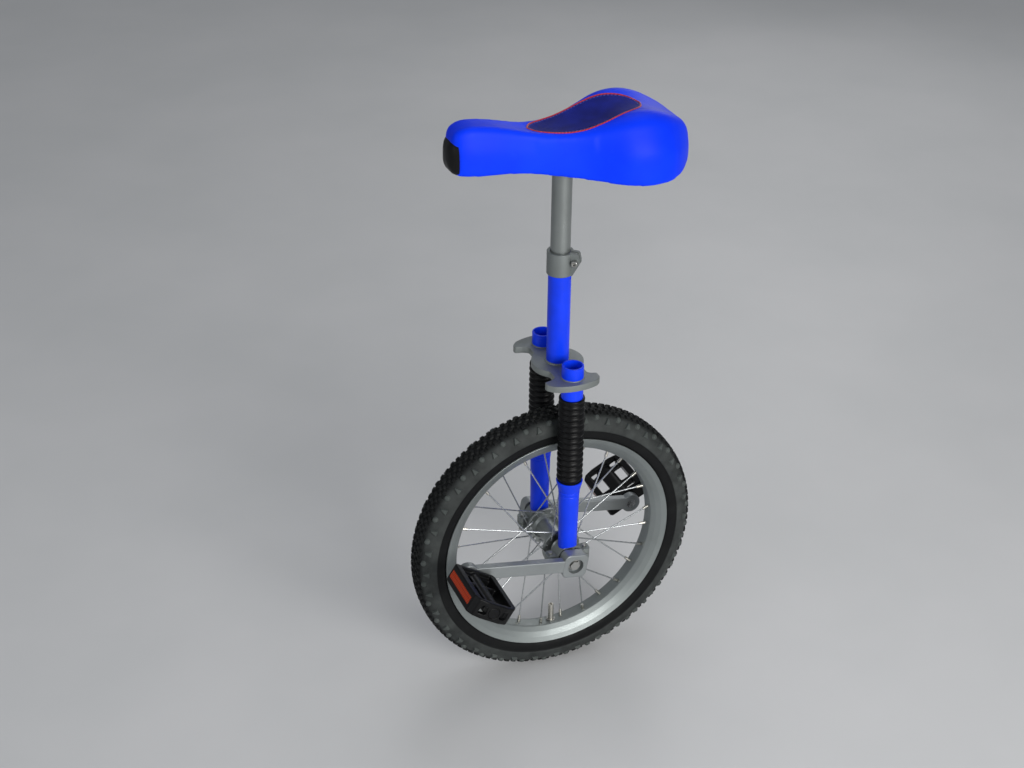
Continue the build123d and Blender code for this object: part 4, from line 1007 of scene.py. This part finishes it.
inner_xy = []
for i in range(NP + 1):
    u = 0.03 + 0.94 * (0.5 - 0.5 * math.cos(PI * i / NP))
    inner_xy.append((-0.100 + 0.148 * u, max(0.0, 0.1 * panel_hw(u) - 0.0030)))
ring_xy = inner_xy + [(x, -y) for x, y in inner_xy[::-1]]
stitch_line = []
for x, y in ring_xy:
    p, nr = top_point(x, y, 0.0)
    if p is not None:
        stitch_line.append((p, nr))
stitches("panel_stitches", stitch_line, 0.0030, 0.0016, 0.00034, M["stitch"], "seat")

# ------------------------------------------------------------------ nose bumper: a domed cap over the end of the nose
blo, bhi = lo_hi("nose_bumper")
bc = (blo + bhi) / 2
verts, faces = [], []
RA = 96
bz = 0.7850
# x, half width, height above and below the middle (metres)
CAP = [(0.1405, 0.0195, 0.0195, 0.0200), (0.1414, 0.0222, 0.0216, 0.0220), (0.1444, 0.0204, 0.0210, 0.0211), (0.1465, 0.0184, 0.0200, 0.0199), (0.1483, 0.0157, 0.0180, 0.0179),
       (0.1500, 0.0121, 0.0146, 0.0145), (0.1512, 0.0080, 0.0100, 0.0100), (bhi.x - 0.0003, 0.0036, 0.0046, 0.0046), (bhi.x - 0.0002, 0.0, 0.0, 0.0)]
for x, w, hu, hd in CAP[:-1]:
    for k in range(RA):
        a = 2 * PI * k / RA
        ca, sa = math.cos(a), math.sin(a)
        e = 0.62 if sa > 0 else 0.46
        y = w * math.copysign(abs(ca) ** e, ca)
        z = (hu if sa > 0 else hd) * math.copysign(abs(sa) ** e, sa)
        verts.append((x, y * (1 - 0.10 * max(0.0, z / 0.021)), bz + z))
for i in range(len(CAP) - 2):
    for k in range(RA):
        l = (k + 1) % RA
        faces.append((i * RA + k, i * RA + l, (i + 1) * RA + l, (i + 1) * RA + k))
tip = len(verts)
verts.append((CAP[-1][0], 0.0, bz))
for k in range(RA):
    faces.append(((len(CAP) - 2) * RA + k, (len(CAP) - 2) * RA + (k + 1) % RA, tip))
faces.append(tuple(range(RA)))
bump_ob = new_obj("nose_bumper_cap", verts, faces, M["bumper"], angle=50 * D)
bm = bmesh.new(); bm.from_mesh(bump_ob.data); bmesh.ops.remove_doubles(bm, verts=bm.verts, dist=1e-6); bmesh.ops.recalc_face_normals(bm, faces=bm.faces); bm.to_mesh(bump_ob.data); bm.free()
put(bump_ob, "seat", "nose_bumper", slot="bumper_plastic")

# ------------------------------------------------------------------ stage, light, camera
fl = bpy.data.meshes.new("floor")
S = 9.0
bm = bmesh.new()
rows = []
for i in range(41):
    y = -S + 2 * S * i / 40
    rows.append([bm.verts.new((x, y, 0.0)) for x in (-S, 0, S)])
for a, b in zip(rows, rows[1:]):
    for i in range(2):
        bm.faces.new((a[i], a[i + 1], b[i + 1], b[i]))
bm.to_mesh(fl)
bm.free()
floor = bpy.data.objects.new("floor", fl)
bpy.context.scene.collection.objects.link(floor)
fm = Mat("floor_pale")
fm.color(fm.mix(fm.mapr(fm.noise(3, 3), 0.3, 0.7, 0, 1), (0.58, 0.585, 0.59), (0.62, 0.62, 0.625)))
fm.set(Roughness=0.42, Specular_IOR_Level=0.35)
fl.materials.append(fm.m)

bpy.context.scene.view_settings.view_transform = "Standard"
bpy.context.scene.view_settings.look = "None"
world = bpy.data.worlds.new("studio")
bpy.context.scene.world = world
world.use_nodes = True
world.node_tree.nodes["Background"].inputs["Color"].default_value = (0.86, 0.89, 0.93, 1)
world.node_tree.nodes["Background"].inputs["Strength"].default_value = 0.34


def area(name, loc, target, size, power, col=(1, 1, 1)):
    l = bpy.data.lights.new(name, "AREA")
    l.shape = "RECTANGLE"
    l.size, l.size_y = size
    l.energy = power
    l.color = col
    o = bpy.data.objects.new(name, l)
    bpy.context.scene.collection.objects.link(o)
    o.location = loc
    o.rotation_euler = (Vector(target) - Vector(loc)).to_track_quat("-Z", "Y").to_euler()
    return o


area("key", (-0.35, 2.7, 1.35), (0, 0, 0.42), (1.7, 1.2), 72, (1.0, 0.99, 0.97))
area("fill", (2.5, 0.9, 1.3), (0, 0, 0.4), (1.4, 1.4), 9, (0.93, 0.96, 1.0))
area("top", (-0.5, -0.6, 2.8), (0, 0, 0.3), (1.6, 1.6), 9, (0.95, 0.97, 1.0))
area("rim", (-1.6, -2.0, 1.5), (0, 0, 0.4), (1.0, 1.6), 7, (1.0, 1.0, 1.0))

cam = bpy.data.cameras.new("camera")
co = bpy.data.objects.new("camera", cam)
bpy.context.scene.collection.objects.link(co)
cam.sensor_width = 36.0
cam.lens = 36.0 * 1718.55 / 1024
cam.clip_end = 50
fw = Vector((-0.3335, -0.7978, -0.5022)).normalized()
right = Vector((-0.92265, 0.38564, 0)).normalized()
up = right.cross(fw)
c, s = math.cos(0.0116), math.sin(0.0116)
r2, u2 = right * c + up * s, up * c - right * s
rot = Matrix((r2, u2, -fw)).transposed().to_4x4()
co.matrix_world = Matrix.Translation((0.7993, 1.7612, 1.5652)) @ rot
bpy.context.scene.camera = co
